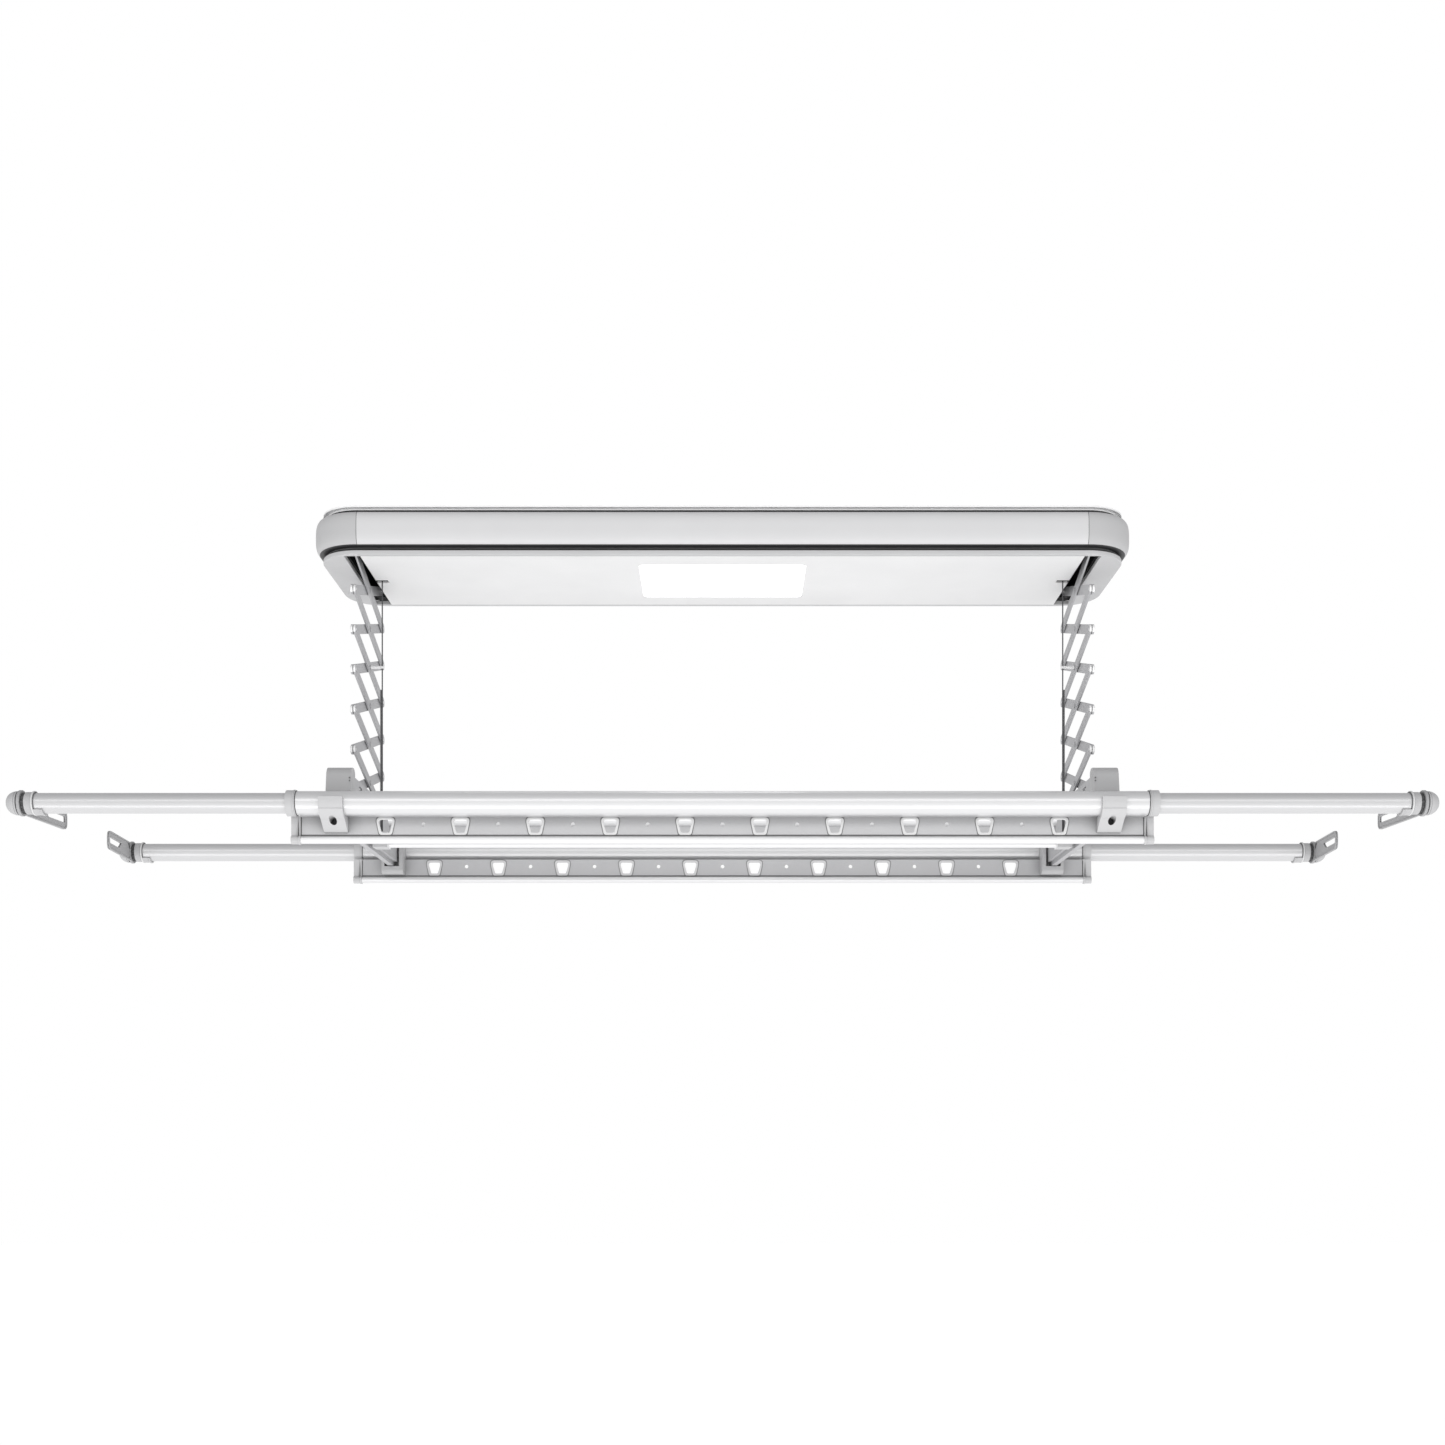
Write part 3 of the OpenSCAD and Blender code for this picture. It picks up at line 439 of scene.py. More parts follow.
# The rear rail's tube, painted in the darker pull-tube tone as the shade on the rail's inner side.
def rear_in_shade(p, _):
    return p.y > 0.1


# Tones of a node's own faces, each with the test that picks its faces
# The front web's bead and the mid bar's lower bead take the lit bead tone: painted light.
PAINT = {"front_web": [("shade_alloy", shade_above_bead), ("lit_bead", on_bead)],
         # The rear web's bead keeps the plain tube tone, darker than the front's: painted shade on
         # the rail's inner side.
         "rear_web": [("shade_alloy", shade_above_bead), ("anodised_tube", on_bead)],
         # the rear rail tube's darker tone is painted shade
         "rail_tubes": [("pull_tube", rear_in_shade)],
         # the mid bar's bead is painted lit below BAR_BEAD_LIT and shaded above it
         "mid_bar": [("anodised_web", on_bar_web), ("cap_plastic", shaded_bar_bead_top),
                     ("lit_bead", on_bar_bead), ("grey_plastic", on_bar_bracket)],
         "groove_seals": [("lit_rubber", lit_lip), ("seam_rubber", lit_rib),
                          ("lit_trim", under_tray)],
         "left_end_cover": [("black_plastic", inner_faces_in_shade)],
         "right_end_cover": [("black_plastic", inner_faces_in_shade)],
         "side_bands": [("light_grey_plastic", at_cover), ("black_plastic", inner_faces_in_shade)]}
# Heights where a node's faces are split, so that a tone ends in a clean line
HEIGHTS = {"front_web": [BEAD_TOP + SHADE_LINE_H], "rear_web": [BEAD_TOP + SHADE_LINE_H],
           "mid_bar": [BAR_BEAD_LIT], "groove_seals": [LIP_LOW, TRAY_SHADE]}
for node_name, edge_width in EDGE_WIDTHS.items():
    refined(node_name, edge_width, 3 if edge_width >= 0.001 else 2, PAINT.get(node_name, ()),
            HEIGHTS.get(node_name, ()))

# ---------------------------------------------------------------- scissor arms and their pins

# Inner face of each layer of arms, and the arms' thickness
LAYER_IN, LAYER_OUT, ARM_T = 0.6380, 0.6428, 0.0035
PAST_INNER = LAYER_IN + ARM_T + 0.0002
BEFORE_OUTER = LAYER_OUT - 0.0002


# Faces between the two layers of arms, painted dark as the shade in the gap between them.
def shaded_between_layers(p, _):
    return PAST_INNER < abs(p.x) < BEFORE_OUTER


def outside_layers(p, _):
    return abs(p.x) > LAYER_OUT + ARM_T + 0.0001


# Arm tips facing front and back, painted in the near-white pin tone as a highlight.
def tip_highlight(_, n):
    return abs(n.y) > 0.75 and abs(n.x) < 0.4


def inner_head(p, _):
    return LAYER_IN - 0.0012 < abs(p.x) < LAYER_IN


for k in range(1, 7):
    refined(f"crossing_pins_{k}", 0.0004, 2,
            [("shadow_plastic", shaded_between_layers), ("scissor_alloy", inner_head)])
    for kind in ("inner_arms", "outer_arms"):
        refined(f"{kind}_{k}", 0.0005, 2,
                [("pin_steel", tip_highlight), ("black_rubber", shaded_between_layers),
                 ("pin_steel", outside_layers)])

# ---------------------------------------------------------------- lathe and plate helpers


def lathe(profile, steps=64):
    """A bmesh turned round the X axis from (x, radius) points, closed at both ends."""
    bm = bmesh.new()
    rings = []
    for x, r in profile:
        if r < 1e-7:
            rings.append([bm.verts.new((x, 0, 0))])
        else:
            rings.append([bm.verts.new((x, r * math.cos(t), r * math.sin(t)))
                          for t in (2 * math.pi * i / steps for i in range(steps))])
    for low, high in zip(rings, rings[1:]):
        for i in range(steps):
            j = (i + 1) % steps
            quad = [low[i % len(low)], low[j % len(low)], high[j % len(high)], high[i % len(high)]]
            corners = list(dict.fromkeys(quad))
            if len(corners) > 2:
                bm.faces.new(corners)
    bmesh.ops.recalc_face_normals(bm, faces=bm.faces)
    return bm


def softened(points, radius, n=4):
    """(x, r) points with each inner corner rounded by short steps."""
    out = [points[0]]
    for before, here, after in zip(points, points[1:], points[2:]):
        p, a, b = Vector(here), Vector(before), Vector(after)
        reach = min(radius, 0.45 * (a - p).length, 0.45 * (b - p).length)
        start, end = p + (a - p).normalized() * reach, p + (b - p).normalized() * reach
        for i in range(n + 1):
            t = i / n
            out.append(tuple((1 - t) ** 2 * start + 2 * t * (1 - t) * p + t * t * end))
    out.append(points[-1])
    return out


def rounded(points, radii, n=5):
    """A closed outline with rounded corners."""
    out = []
    m = len(points)
    for i, (p, r) in enumerate(zip(points, radii)):
        p, a, b = Vector(p), Vector(points[i - 1]), Vector(points[(i + 1) % m])
        u, v = (a - p).normalized(), (b - p).normalized()
        half = math.acos(max(-1, min(1, u.dot(v)))) / 2
        reach = r / math.tan(half)
        start, end = p + u * reach, p + v * reach
        for s in range(n + 1):
            t = s / n
            out.append(tuple((1 - t) ** 2 * start + 2 * t * (1 - t) * p + t * t * end))
    return out


def circle(r, n=48):
    return [(r * math.cos(2 * math.pi * i / n), r * math.sin(2 * math.pi * i / n))
            for i in range(n)]


def plate(outlines, thickness, edge):
    """A filled flat plate with rounded edges: first outline outside, the others holes."""
    curve = bpy.data.curves.new("plate", "CURVE")
    curve.dimensions = "2D"
    curve.fill_mode = "BOTH"
    curve.extrude = thickness / 2 - edge
    curve.bevel_depth = edge
    curve.bevel_resolution = 2
    curve.offset = -edge
    for outline in outlines:
        spline = curve.splines.new("POLY")
        spline.points.add(len(outline) - 1)
        for point, (u, v) in zip(spline.points, outline):
            point.co = (u, v, 0, 1)
        spline.use_cyclic_u = True
    obj = bpy.data.objects.new("plate", curve)
    bpy.context.scene.collection.objects.link(obj)
    bpy.context.view_layer.update()
    mesh = bpy.data.meshes.new_from_object(obj.evaluated_get(
        bpy.context.evaluated_depsgraph_get()))
    bpy.data.objects.remove(obj)
    bm = bmesh.new()
    bm.from_mesh(mesh)
    bmesh.ops.remove_doubles(bm, verts=bm.verts, dist=1e-6)
    return bm


def joined(parts):
    """One bmesh of all the parts, which are freed."""
    whole = bmesh.new()
    for bm in parts:
        mesh = bpy.data.meshes.new("part")
        bm.to_mesh(mesh)
        bm.free()
        whole.from_mesh(mesh)
        bpy.data.meshes.remove(mesh)
    return whole


def finished(bm, name, slot, body, angle, settle=True):
    """A finished piece from the bmesh, in its slot's material."""
    bmesh.ops.recalc_face_normals(bm, faces=bm.faces)
    mesh = bpy.data.meshes.new(name)
    bm.to_mesh(mesh)
    bm.free()
    piece = link(name, mesh, MATERIALS[slot], body, angle)
    return settled(piece) if settle else piece


# ---------------------------------------------------------------- tips and hooks

tube_low, tube_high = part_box("rear_right_tube")
AXIS_Y = (tube_low[1] + tube_high[1]) / 2
AXIS_Z = (tube_low[2] + tube_high[2]) / 2
TIP_X0 = tube_high[0]
COLLAR_END = TIP_X0 + 0.0155
hook_low, hook_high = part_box("rear_right_hook")
RING_X1 = hook_high[0]
RING_X0 = RING_X1 - 0.005
HOOK_LEN = AXIS_Y - hook_low[1]
HOOK_W, BEND = 0.035, 0.021
DOME_X0 = RING_X1 + 0.002
DOME_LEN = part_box("rear_right_tip")[1][0] - DOME_X0
DOME_SEAT = DOME_X0 + 0.0036
PLUG_X0 = TIP_X0 - 0.0295
PLUG_R, COLLAR_RIM_R, COLLAR_R, NECK_R, DOME_R = 0.0155, 0.0200, 0.0184, 0.0119, 0.0200
SLOT_NEAR, SLOT_FAR, SLOT_HALF, SLOT_SLANT = 0.007, 0.080, 0.0055, 0.009
DIMPLE_WAY, DIMPLE_ANGLE, DIMPLE_DEPTH = (0.50, -0.72, 0.42), 27, 0.0005
ROUND_STEPS = 72
SADDLE_BORE_R, SADDLE_R, SADDLE_SPREAD = 0.0173, 0.0198, 100
NECK_BORE_R, RING_R, RING_ARC = 0.01206, 0.0215, 246
LEAN = math.radians(-4)
# Turns a flat plate upright, with its thickness along X
UPRIGHT = Matrix(((0, 0, 1, 0), (1, 0, 0, 0), (0, 1, 0, 0), (0, 0, 0, 1)))


def corner_matrix(corner):
    sx = -1 if corner.endswith("left") else 1
    sy = -1 if corner.startswith("front") else 1
    return sx, sy, Matrix.Translation((0, sy * AXIS_Y, AXIS_Z)) @ Matrix.Diagonal((sx, sy, 1, 1))


def placed(bm, corner):
    sx, sy, m = corner_matrix(corner)
    bmesh.ops.transform(bm, matrix=m, verts=bm.verts)
    if sx * sy < 0:
        bmesh.ops.reverse_faces(bm, faces=bm.faces)
    return bm


def tip_body():
    """Collar with a rim at its inner end, the neck that the hook turns on, the domed cap with a
    shallow dimple."""
    collar = softened([(PLUG_X0, 0.0), (PLUG_X0, PLUG_R), (TIP_X0, PLUG_R),
                       (TIP_X0, COLLAR_RIM_R), (TIP_X0 + 0.003, COLLAR_RIM_R),
                       (TIP_X0 + 0.0042, COLLAR_R), (COLLAR_END - 0.001, COLLAR_R),
                       (COLLAR_END, COLLAR_R - 0.001), (COLLAR_END, NECK_R),
                       (DOME_X0 + 0.0002, NECK_R), (DOME_X0, 0.0198),
                       (DOME_X0 + 0.0026, 0.0199), (DOME_X0 + 0.0030, 0.0192),
                       (DOME_SEAT, 0.0192)], 0.0009)
    dome = []
    for i in range(25):
        t = math.radians(10 + 80 * i / 24)
        dome.append((DOME_X0 + DOME_LEN * math.sin(t), DOME_R * max(0.0, math.cos(t)) ** 0.8))
    dome[-1] = (DOME_X0 + DOME_LEN, 0.0)
    bm = lathe([p for p in collar if p[0] < DOME_SEAT - 1e-6] + dome, ROUND_STEPS)
    facing = Vector(DIMPLE_WAY).normalized()
    for v in bm.verts:
        out = Vector((v.co.x - DOME_X0, v.co.y, v.co.z))
        if v.co.x > DOME_SEAT and out.length > 0.012:
            off = math.degrees(out.angle(facing))
            depth = DIMPLE_DEPTH * max(0.0, min(1.0, (DIMPLE_ANGLE - off) / 4))
            v.co -= out.normalized() * depth
    return bm


def saddle():
    """Half shell under the pull-out tube with a rim at its inner end."""
    bm = bmesh.new()
    x0 = TIP_X0 - 0.015
    x1 = TIP_X0 + 0.0008
    section = softened([(x0, SADDLE_BORE_R), (x0, 0.0208), (x0 + 0.003, 0.0208),
                        (x0 + 0.0036, SADDLE_R), (x1, SADDLE_R)], 0.0007) + [(x1, SADDLE_BORE_R)]
    steps = 28
    rings = []
    for i in range(steps + 1):
        t = math.radians(-90 - SADDLE_SPREAD / 2 + SADDLE_SPREAD * i / steps)
        rings.append([bm.verts.new((x, r * math.cos(t), r * math.sin(t))) for x, r in section])
    n = len(section)
    for low, high in zip(rings, rings[1:]):
        for i in range(n):
            j = (i + 1) % n
            bm.faces.new((low[i], low[j], high[j], high[i]))
    bm.faces.new(rings[0])
    bm.faces.new(rings[-1])
    return bm


def hook_outlines():
    """The blade's outline and its slot's, from the bend at the right to the blade's tip."""
    blade = rounded([(-BEND + 0.002, -HOOK_W / 2), (-BEND + 0.002, HOOK_W / 2),
                     (-HOOK_LEN, HOOK_W / 2), (-HOOK_LEN, -HOOK_W / 2)],
                    [0.0002, 0.0002, 0.015, 0.012])
    s0, s1, sw = -HOOK_LEN + SLOT_NEAR, -HOOK_LEN + SLOT_FAR, SLOT_HALF
    slot = rounded([(s1 - SLOT_SLANT, -sw), (s1 + SLOT_SLANT, sw), (s0, sw), (s0, -sw)],
                   [0.001, 0.001, 0.004, 0.004])
    return blade, slot


def shrunk(outline, by):
    """The outline moved inwards by a distance, for outlines drawn either way round."""
    area = sum(a[0] * b[1] - b[0] * a[1] for a, b in zip(outline, outline[1:] + outline[:1]))
    side = 1 if area > 0 else -1
    out = []
    m = len(outline)
    for i in range(m):
        a, p, b = (Vector(outline[k % m]) for k in (i - 1, i, i + 1))
        u, v = (p - a).normalized(), (b - p).normalized()
        normal = Vector((-(u.y + v.y), u.x + v.x)).normalized() * side
        out.append(tuple(p + normal * by / max(0.5, math.sqrt((1 + u.dot(v)) / 2))))
    return out


def hook_body():
    """Ring and leaning blade: a thin floor with a rim along its edges and round its slot."""
    t = RING_X1 - RING_X0
    blade, slot = hook_outlines()
    parts = []
    thin = plate([blade, slot], t * 0.5, 0.0006)
    rim = plate([blade, shrunk(blade, 0.0030)], t, 0.0008)
    lip = plate([shrunk(slot, -0.0024), slot], t * 0.82, 0.0007)
    for bm in (thin, rim, lip):
        bmesh.ops.transform(bm, matrix=UPRIGHT, verts=bm.verts)
        lean = (Matrix.Translation((0, -BEND, 0)) @ Matrix.Rotation(LEAN, 4, "Z")
                @ Matrix.Translation((t / 2, BEND, 0)))
        bmesh.ops.transform(bm, matrix=lean, verts=bm.verts)
        parts.append(bm)
    arc = [(RING_R * math.cos(a), RING_R * math.sin(a))
           for a in (math.radians(-RING_ARC / 2 + RING_ARC * i / 60) for i in range(61))]
    ring = plate([arc + [(-BEND - 0.0005, 0.0175), (-BEND - 0.0005, -0.0175)],
                  circle(NECK_BORE_R)], t, 0.0008)
    bmesh.ops.transform(ring, matrix=Matrix.Translation((t / 2, 0, 0)) @ UPRIGHT, verts=ring.verts)
    parts.append(ring)
    whole = joined(parts)
    bmesh.ops.transform(whole, matrix=Matrix.Translation((RING_X0, 0, 0)), verts=whole.verts)
    return whole


TOOTH_GAP = 0.92  # the radius between two teeth, as a part of the ring's radius


def band_ring(x0, x1, r0, r1, teeth=0):
    """A soft ring round the X axis from x0 to x1, with a toothed rim if teeth are given."""
    bm = lathe(softened([(x0, r0), (x0, r1), (x1, r1), (x1, r0)], 0.0005) + [(x0, r0)],
               ROUND_STEPS)
    if teeth:
        for v in bm.verts:
            if math.hypot(v.co.y, v.co.z) > (r0 + r1) / 2:
                if math.cos(teeth * math.atan2(v.co.z, v.co.y)) < 0:
                    v.co.y *= TOOTH_GAP
                    v.co.z *= TOOTH_GAP
    return bm


# Soft rings of a tip: ends, radii, number of teeth and tone. The three dark rings fill the gaps
# between the tip's parts as painted shade.
TIP_RINGS = {
    "toothed_gap_shade": (COLLAR_END + 0.0001, RING_X0 - 0.0003, 0.0121, 0.0178, 12, "seam_rubber"),
    "outer_gap_shade": (RING_X1 + 0.0003, RING_X1 + 0.0017, 0.0121, 0.0172, 0, "black_rubber"),
    "tube_gap_shade": (TIP_X0 - 0.0013, TIP_X0 - 0.0001, 0.0171, 0.0186, 0, "shade_alloy"),
    "tube_rim": (TIP_X0 + 0.0001, TIP_X0 + 0.0024, 0.0180, 0.0203, 0, "pale_trim_plastic"),
}
for c in CORNERS:
    body = body_of_node[c + "_tip"]
    tip = finished(placed(tip_body(), c), c + "_tip_cap", slot_of_node[c + "_tip"], body, 40)
    foot = finished(placed(saddle(), c), c + "_tip_saddle", slot_of_node[c + "_tip"], body, 35)
    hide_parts(c + "_tip")
    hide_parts(c + "_tip")
    for part, (*shape, tone) in TIP_RINGS.items():
        piece = finished(placed(band_ring(*shape), c), f"{c}_{part}", "black_rubber", body, 40)
        piece.data.materials[0] = MATERIALS[tone]
    hook = finished(placed(hook_body(), c), c + "_hook_body", slot_of_node[c + "_hook"],
                    body_of_node[c + "_hook"], 35)
    hook.data.materials[0] = MATERIALS["shaded_hook_plastic"]
    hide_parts(c + "_hook")

# ---------------------------------------------------------------- hanger hole rings

HOLE_PITCH, HOLE_COUNT, HOLE_Z = 0.125, 10, -0.5688
HOLE_TOP, HOLE_BOTTOM, HOLE_H = 0.0155, 0.0090, 0.0135
RING_Y = 0.2515


def hole_outline(grow, top_r, bottom_r):
    """A hanger hole's outline, wider at the top, moved outwards by grow."""
    t, b, h = HOLE_TOP + grow, HOLE_BOTTOM + grow, HOLE_H + grow
    return rounded([(-b, -h), (b, -h), (t, h), (-t, h)], [bottom_r, bottom_r, top_r, top_r], 7)


RING_OUTLINES = [hole_outline(0.0016, 0.0085, 0.0055), hole_outline(-0.0024, 0.0060, 0.0035)]
PAD_OUTLINES = [hole_outline(0.0027, 0.0090, 0.0060), hole_outline(0.0006, 0.0080, 0.0050)]
RING_DEEP, RING_EDGE, PAD_DEEP, PAD_EDGE = 0.0060, 0.0009, 0.0036, 0.0002

# The rear rail's rings take a darker tone than the front's: painted shade on the rail's inner
# side.
for rail, sy, tone in (("front", -1, "pale_trim_plastic"), ("rear", 1, "light_grey_plastic")):
    for kind, outlines, deep, edge, finish_name in (
            ("hole_rings", RING_OUTLINES, RING_DEEP, RING_EDGE, tone),
            # The pads under the rings are a dark outline round each ring: painted shadow.
            ("ring_pads", PAD_OUTLINES, PAD_DEEP, PAD_EDGE, "shade_alloy")):
        made = []
        for i in range(HOLE_COUNT):
            ring = plate(outlines, deep, edge)
            turn = Matrix.Translation(((i - (HOLE_COUNT - 1) / 2) * HOLE_PITCH, sy * RING_Y,
                                       HOLE_Z))
            bmesh.ops.transform(ring, matrix=turn @ Matrix.Rotation(math.radians(90), 4, "X"),
                                verts=ring.verts)
            made.append(ring)
        piece = finished(joined(made), f"{rail}_{kind}", slot_of_node["hanger_trims"],
                         body_of_node["hanger_trims"], 35)
        piece.data.materials[0] = MATERIALS[finish_name]
        if kind == "hole_rings":
            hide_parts("hanger_trims")

# ---------------------------------------------------------------- painted shadow strips and rings at the rail ends, and dents

END_LEN = 0.016  # of a web's end cap and of a tube's collar
CAP_X0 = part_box("web_end_caps")[1][0] - END_LEN
COLLAR_X0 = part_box("tube_collars")[1][0] - END_LEN
WEB_TOP = -0.5525
SHADOW_STRIP_Y0, SHADOW_STRIP_Y1 = 0.2492, 0.2538
RAIL_R = 0.020
DENT_X, DENT_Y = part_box("end_blocks")[1][0] - 0.0395, 0.2587
DENT_HEIGHTS = (-0.4890, -0.4940)
DENT_PROFILE = [(0, 0), (0, 0.0009), (0.0006, 0.0012), (0.0010, 0.0)]


def bar(x0, x1, y0, y1, z0, z1, edge):
    """A straight bar with rounded edges."""
    bm = bmesh.new()
    made = bmesh.ops.create_cube(bm, size=1)
    for v in made["verts"]:
        v.co = Vector(((x0 + x1) / 2 + v.co.x * (x1 - x0), (y0 + y1) / 2 + v.co.y * (y1 - y0),
                       (z0 + z1) / 2 + v.co.z * (z1 - z0)))
    bmesh.ops.bevel(bm, geom=bm.edges[:], offset=edge, segments=2, profile=0.5, affect="EDGES")
    return bm


def mirrored(bm, sx, sy):
    bmesh.ops.transform(bm, matrix=Matrix.Diagonal((sx, sy, 1, 1)), verts=bm.verts)
    return bm


for rail, sy in (("front", -1), ("rear", 1)):
    strips, rings, dents = [], [], []
    for sx in (-1, 1):
        strips.append(mirrored(bar(CAP_X0 - 0.0014, CAP_X0 - 0.0001, SHADOW_STRIP_Y0, SHADOW_STRIP_Y1,
                                   BEAD_TOP + 0.0005, WEB_TOP - 0.002, 0.0003), sx, sy))
        ring = band_ring(COLLAR_X0 - 0.0012, COLLAR_X0 - 0.0001, RAIL_R + 0.0001, RAIL_R + 0.0010)
        bmesh.ops.transform(ring, matrix=Matrix.Translation((0, AXIS_Y, AXIS_Z)), verts=ring.verts)
        rings.append(mirrored(ring, sx, sy))
        for z in DENT_HEIGHTS:
            dent = lathe(DENT_PROFILE, 20)
            turn = (Matrix.Translation((DENT_X, DENT_Y, z))
                    @ Matrix.Rotation(math.radians(90), 4, "Z"))
            bmesh.ops.transform(dent, matrix=turn, verts=dent.verts)
            dents.append(mirrored(dent, sx, sy))
    for name, parts in (("web_shadow_strip", strips), ("collar_shadow_ring", rings), ("block_dent", dents)):
        # Strips, rings and dents are dark grey: painted shade where the caps and collars stand
        # proud, and in the dents' hollows.
        piece = finished(joined(parts), f"{rail}_{name}", "black_rubber", "drying_frame", 40)
        piece.data.materials[0] = MATERIALS["shadow_plastic"]

# ---------------------------------------------------------------- wire ropes

ROPE_R, ROPE_X, ROPE_TOP, ROPE_END = 0.0012, 0.6165, -0.085, -0.540
DRUM_Z, DRUM_R, SHEAVE_X, SHEAVE_Z, SHEAVE_R = -0.042, 0.020, 0.6025, -0.036, 0.014
LEAD_Y, TAIL_X, TAIL_R, TAIL_TOP = 0.006, 0.6190, 0.0014, -0.281
DRUM_TURNS, TURN_STEPS, TURN_PITCH = 5.6, 40, 0.00255


def resampled(points, step):
    """The line through the points as points that are step apart, with the same two ends."""
    points = [Vector(p) for p in points]
    out, carried = [points[0]], 0.0
    for a, b in zip(points, points[1:]):
        length = (b - a).length
        at = step - carried
        while at < length:
            out.append(a.lerp(b, at / length))
            at += step
        carried = (carried + length) % step
    if (out[-1] - points[-1]).length > step * 0.2:
        out.append(points[-1])
    else:
        out[-1] = points[-1]
    return out


def wire_rope(route, radius, lay=0.013, strands=6, sides=24, step=0.0013):
    """A rope of twisted strands along the route."""
    centre = resampled(route, step)
    bm = bmesh.new()
    up = Vector((0.0, 1.0, 0.013)).normalized()
    rings, run = [], 0.0
    for i, p in enumerate(centre):
        t = (centre[min(i + 1, len(centre) - 1)] - centre[max(i - 1, 0)]).normalized()
        up = (up - up.dot(t) * t).normalized()
        side = t.cross(up)
        if i:
            run += (p - centre[i - 1]).length
        ring = []
        for j in range(sides):
            a = 2 * math.pi * j / sides
            lobe = abs(math.cos(strands / 2 * (a - 2 * math.pi * run / lay)))
            r = radius * (0.80 + 0.20 * lobe)
            ring.append(bm.verts.new(p + r * (math.cos(a) * up + math.sin(a) * side)))
        rings.append(ring)
    for low, high in zip(rings, rings[1:]):
        for j in range(sides):
            k = (j + 1) % sides
            bm.faces.new((low[j], low[k], high[k], high[j]))
    bm.faces.new(rings[0])
    bm.faces.new(rings[-1])
    return bm


for side, sx in (("left", -1), ("right", 1)):
    # The right rope leaves the top of the drum and the left one its bottom
    start = (0, sx * LEAD_Y, DRUM_Z + sx * DRUM_R)
    over = [(sx * (SHEAVE_X + SHEAVE_R * math.sin(a)), 0, SHEAVE_Z + SHEAVE_R * math.cos(a))
            for a in (math.pi / 2 * i / 16 for i in range(17))]
    run = finished(wire_rope([start] + over + [(sx * ROPE_X, 0, ROPE_TOP)], ROPE_R),
                   side + "_rope_run", "wire_rope", "housing", 60, False)
    hang = finished(wire_rope([(sx * ROPE_X, 0, ROPE_TOP), (sx * ROPE_X, 0, ROPE_END + 0.0002)],
                              ROPE_R), side + "_rope_hanging", "wire_rope", None, 60, False)
    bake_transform(hang)
    tail = finished(wire_rope([(sx * TAIL_X, 0, ROPE_END + 0.0002), (sx * TAIL_X, 0, TAIL_TOP)],
                              TAIL_R), side + "_rope_tail", "black_plastic", None, 60, False)
    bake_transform(tail)
    tail.data.materials[0] = MATERIALS["rope_tail_steel"]
    helix = []
    for i in range(int(DRUM_TURNS * TURN_STEPS) + 1):
        a = 2 * math.pi * i / TURN_STEPS
        y = LEAD_Y + TURN_PITCH * i / TURN_STEPS
        helix.append((DRUM_R * math.sin(a), sx * y, DRUM_Z + sx * DRUM_R * math.cos(a)))
    wound = finished(wire_rope(helix, ROPE_R, step=0.0022, sides=18), side + "_rope_wound",
                     "wire_rope", "rope_drum", 60, False)
    for piece in (run, hang, tail, wound):
        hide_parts("lift_ropes")

# The nodes that keep their CAD mesh show their slot's material
for node_name, obj in nodes.items():
    obj.data.materials.clear()
    obj.data.materials.append(MATERIALS[slot_of_node[node_name]])

# ---------------------------------------------------------------- light and floor

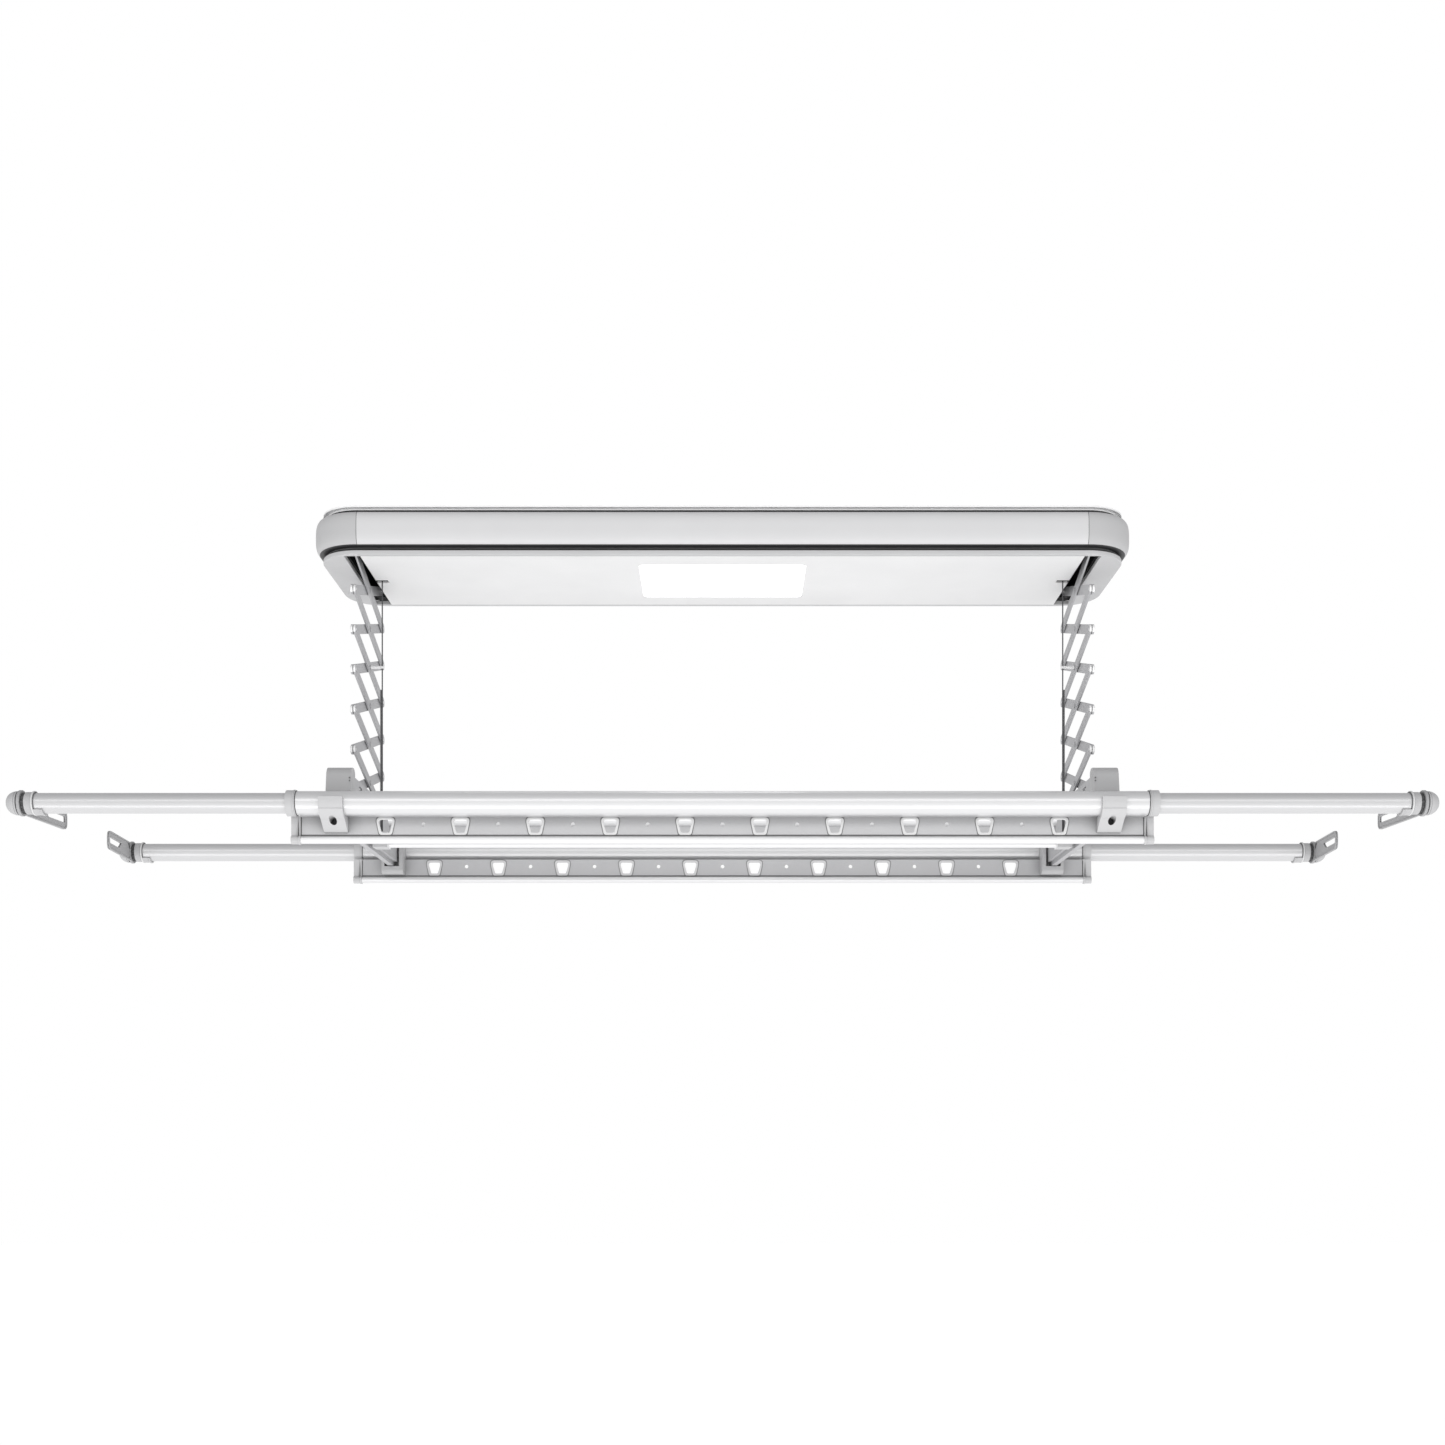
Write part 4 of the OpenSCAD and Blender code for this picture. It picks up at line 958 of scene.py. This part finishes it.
FLOOR_Z, FLOOR_HALF, FLOOR_TONE, FLOOR_GLOW = -4.2, 40, 0.9, 0.55
floor_mesh = bpy.data.meshes.new("floor")
floor_mesh.from_pydata([(x * FLOOR_HALF, y * FLOOR_HALF, FLOOR_Z)
                        for x, y in ((-1, -1), (1, -1), (1, 1), (-1, 1))], [], [(0, 1, 2, 3)])
floor = bpy.data.objects.new("floor", floor_mesh)
bpy.context.scene.collection.objects.link(floor)
floor_mat = bpy.data.materials.new("floor")
floor_mat.use_nodes = True
floor_shader = floor_mat.node_tree.nodes["Principled BSDF"]
floor_shader.inputs["Base Color"].default_value = (*[FLOOR_TONE] * 3, 1)
floor_shader.inputs["Roughness"].default_value = 0.9
floor_shader.inputs["Emission Color"].default_value = (1, 1, 1, 1)
floor_shader.inputs["Emission Strength"].default_value = FLOOR_GLOW
floor_mesh.materials.append(floor_mat)

# The camera sees plain white, and the object is lit by a soft grey gradient
LIGHT_BELOW, LIGHT_ABOVE = (0.82, 0.82, 0.82, 1), (0.40, 0.40, 0.41, 1)
world = bpy.data.worlds.new("studio")
bpy.context.scene.world = world
world.use_nodes = True
wt = world.node_tree
coord = wt.nodes.new("ShaderNodeTexCoord")
split = wt.nodes.new("ShaderNodeSeparateXYZ")
ramp = wt.nodes.new("ShaderNodeValToRGB")
lit = wt.nodes.new("ShaderNodeLightPath")
seen = wt.nodes.new("ShaderNodeMix")
seen.data_type = "RGBA"
seen.inputs["B"].default_value = (1, 1, 1, 1)
ramp.color_ramp.elements[0].color = LIGHT_BELOW
ramp.color_ramp.elements[1].position = 0.9
ramp.color_ramp.elements[1].color = LIGHT_ABOVE
wt.links.new(coord.outputs["Generated"], split.inputs["Vector"])
wt.links.new(split.outputs["Z"], ramp.inputs["Fac"])
wt.links.new(lit.outputs["Is Camera Ray"], seen.inputs["Factor"])
wt.links.new(ramp.outputs["Color"], seen.inputs["A"])
wt.links.new(seen.outputs["Result"], wt.nodes["Background"].inputs["Color"])


MID_RAILS = Vector((0, 0, -0.5))


def softbox(name, location, size_x, size_y, power):
    """A wide soft light aimed at the rails."""
    data = bpy.data.lights.new(name, "AREA")
    data.shape = "RECTANGLE"
    data.size, data.size_y, data.energy = size_x, size_y, power
    obj = bpy.data.objects.new(name, data)
    obj.location = location
    aim = MID_RAILS - obj.location
    obj.rotation_euler = aim.to_track_quat("-Z", "Y").to_euler()
    obj.visible_camera = False
    bpy.context.scene.collection.objects.link(obj)


softbox("upper_strip", (0, -3.4, 0.8), size_x=6.0, size_y=0.8, power=24)
softbox("lower_strip", (0, -2.6, -2.9), size_x=6.0, size_y=1.0, power=30)

bpy.context.scene.view_settings.view_transform = "Standard"
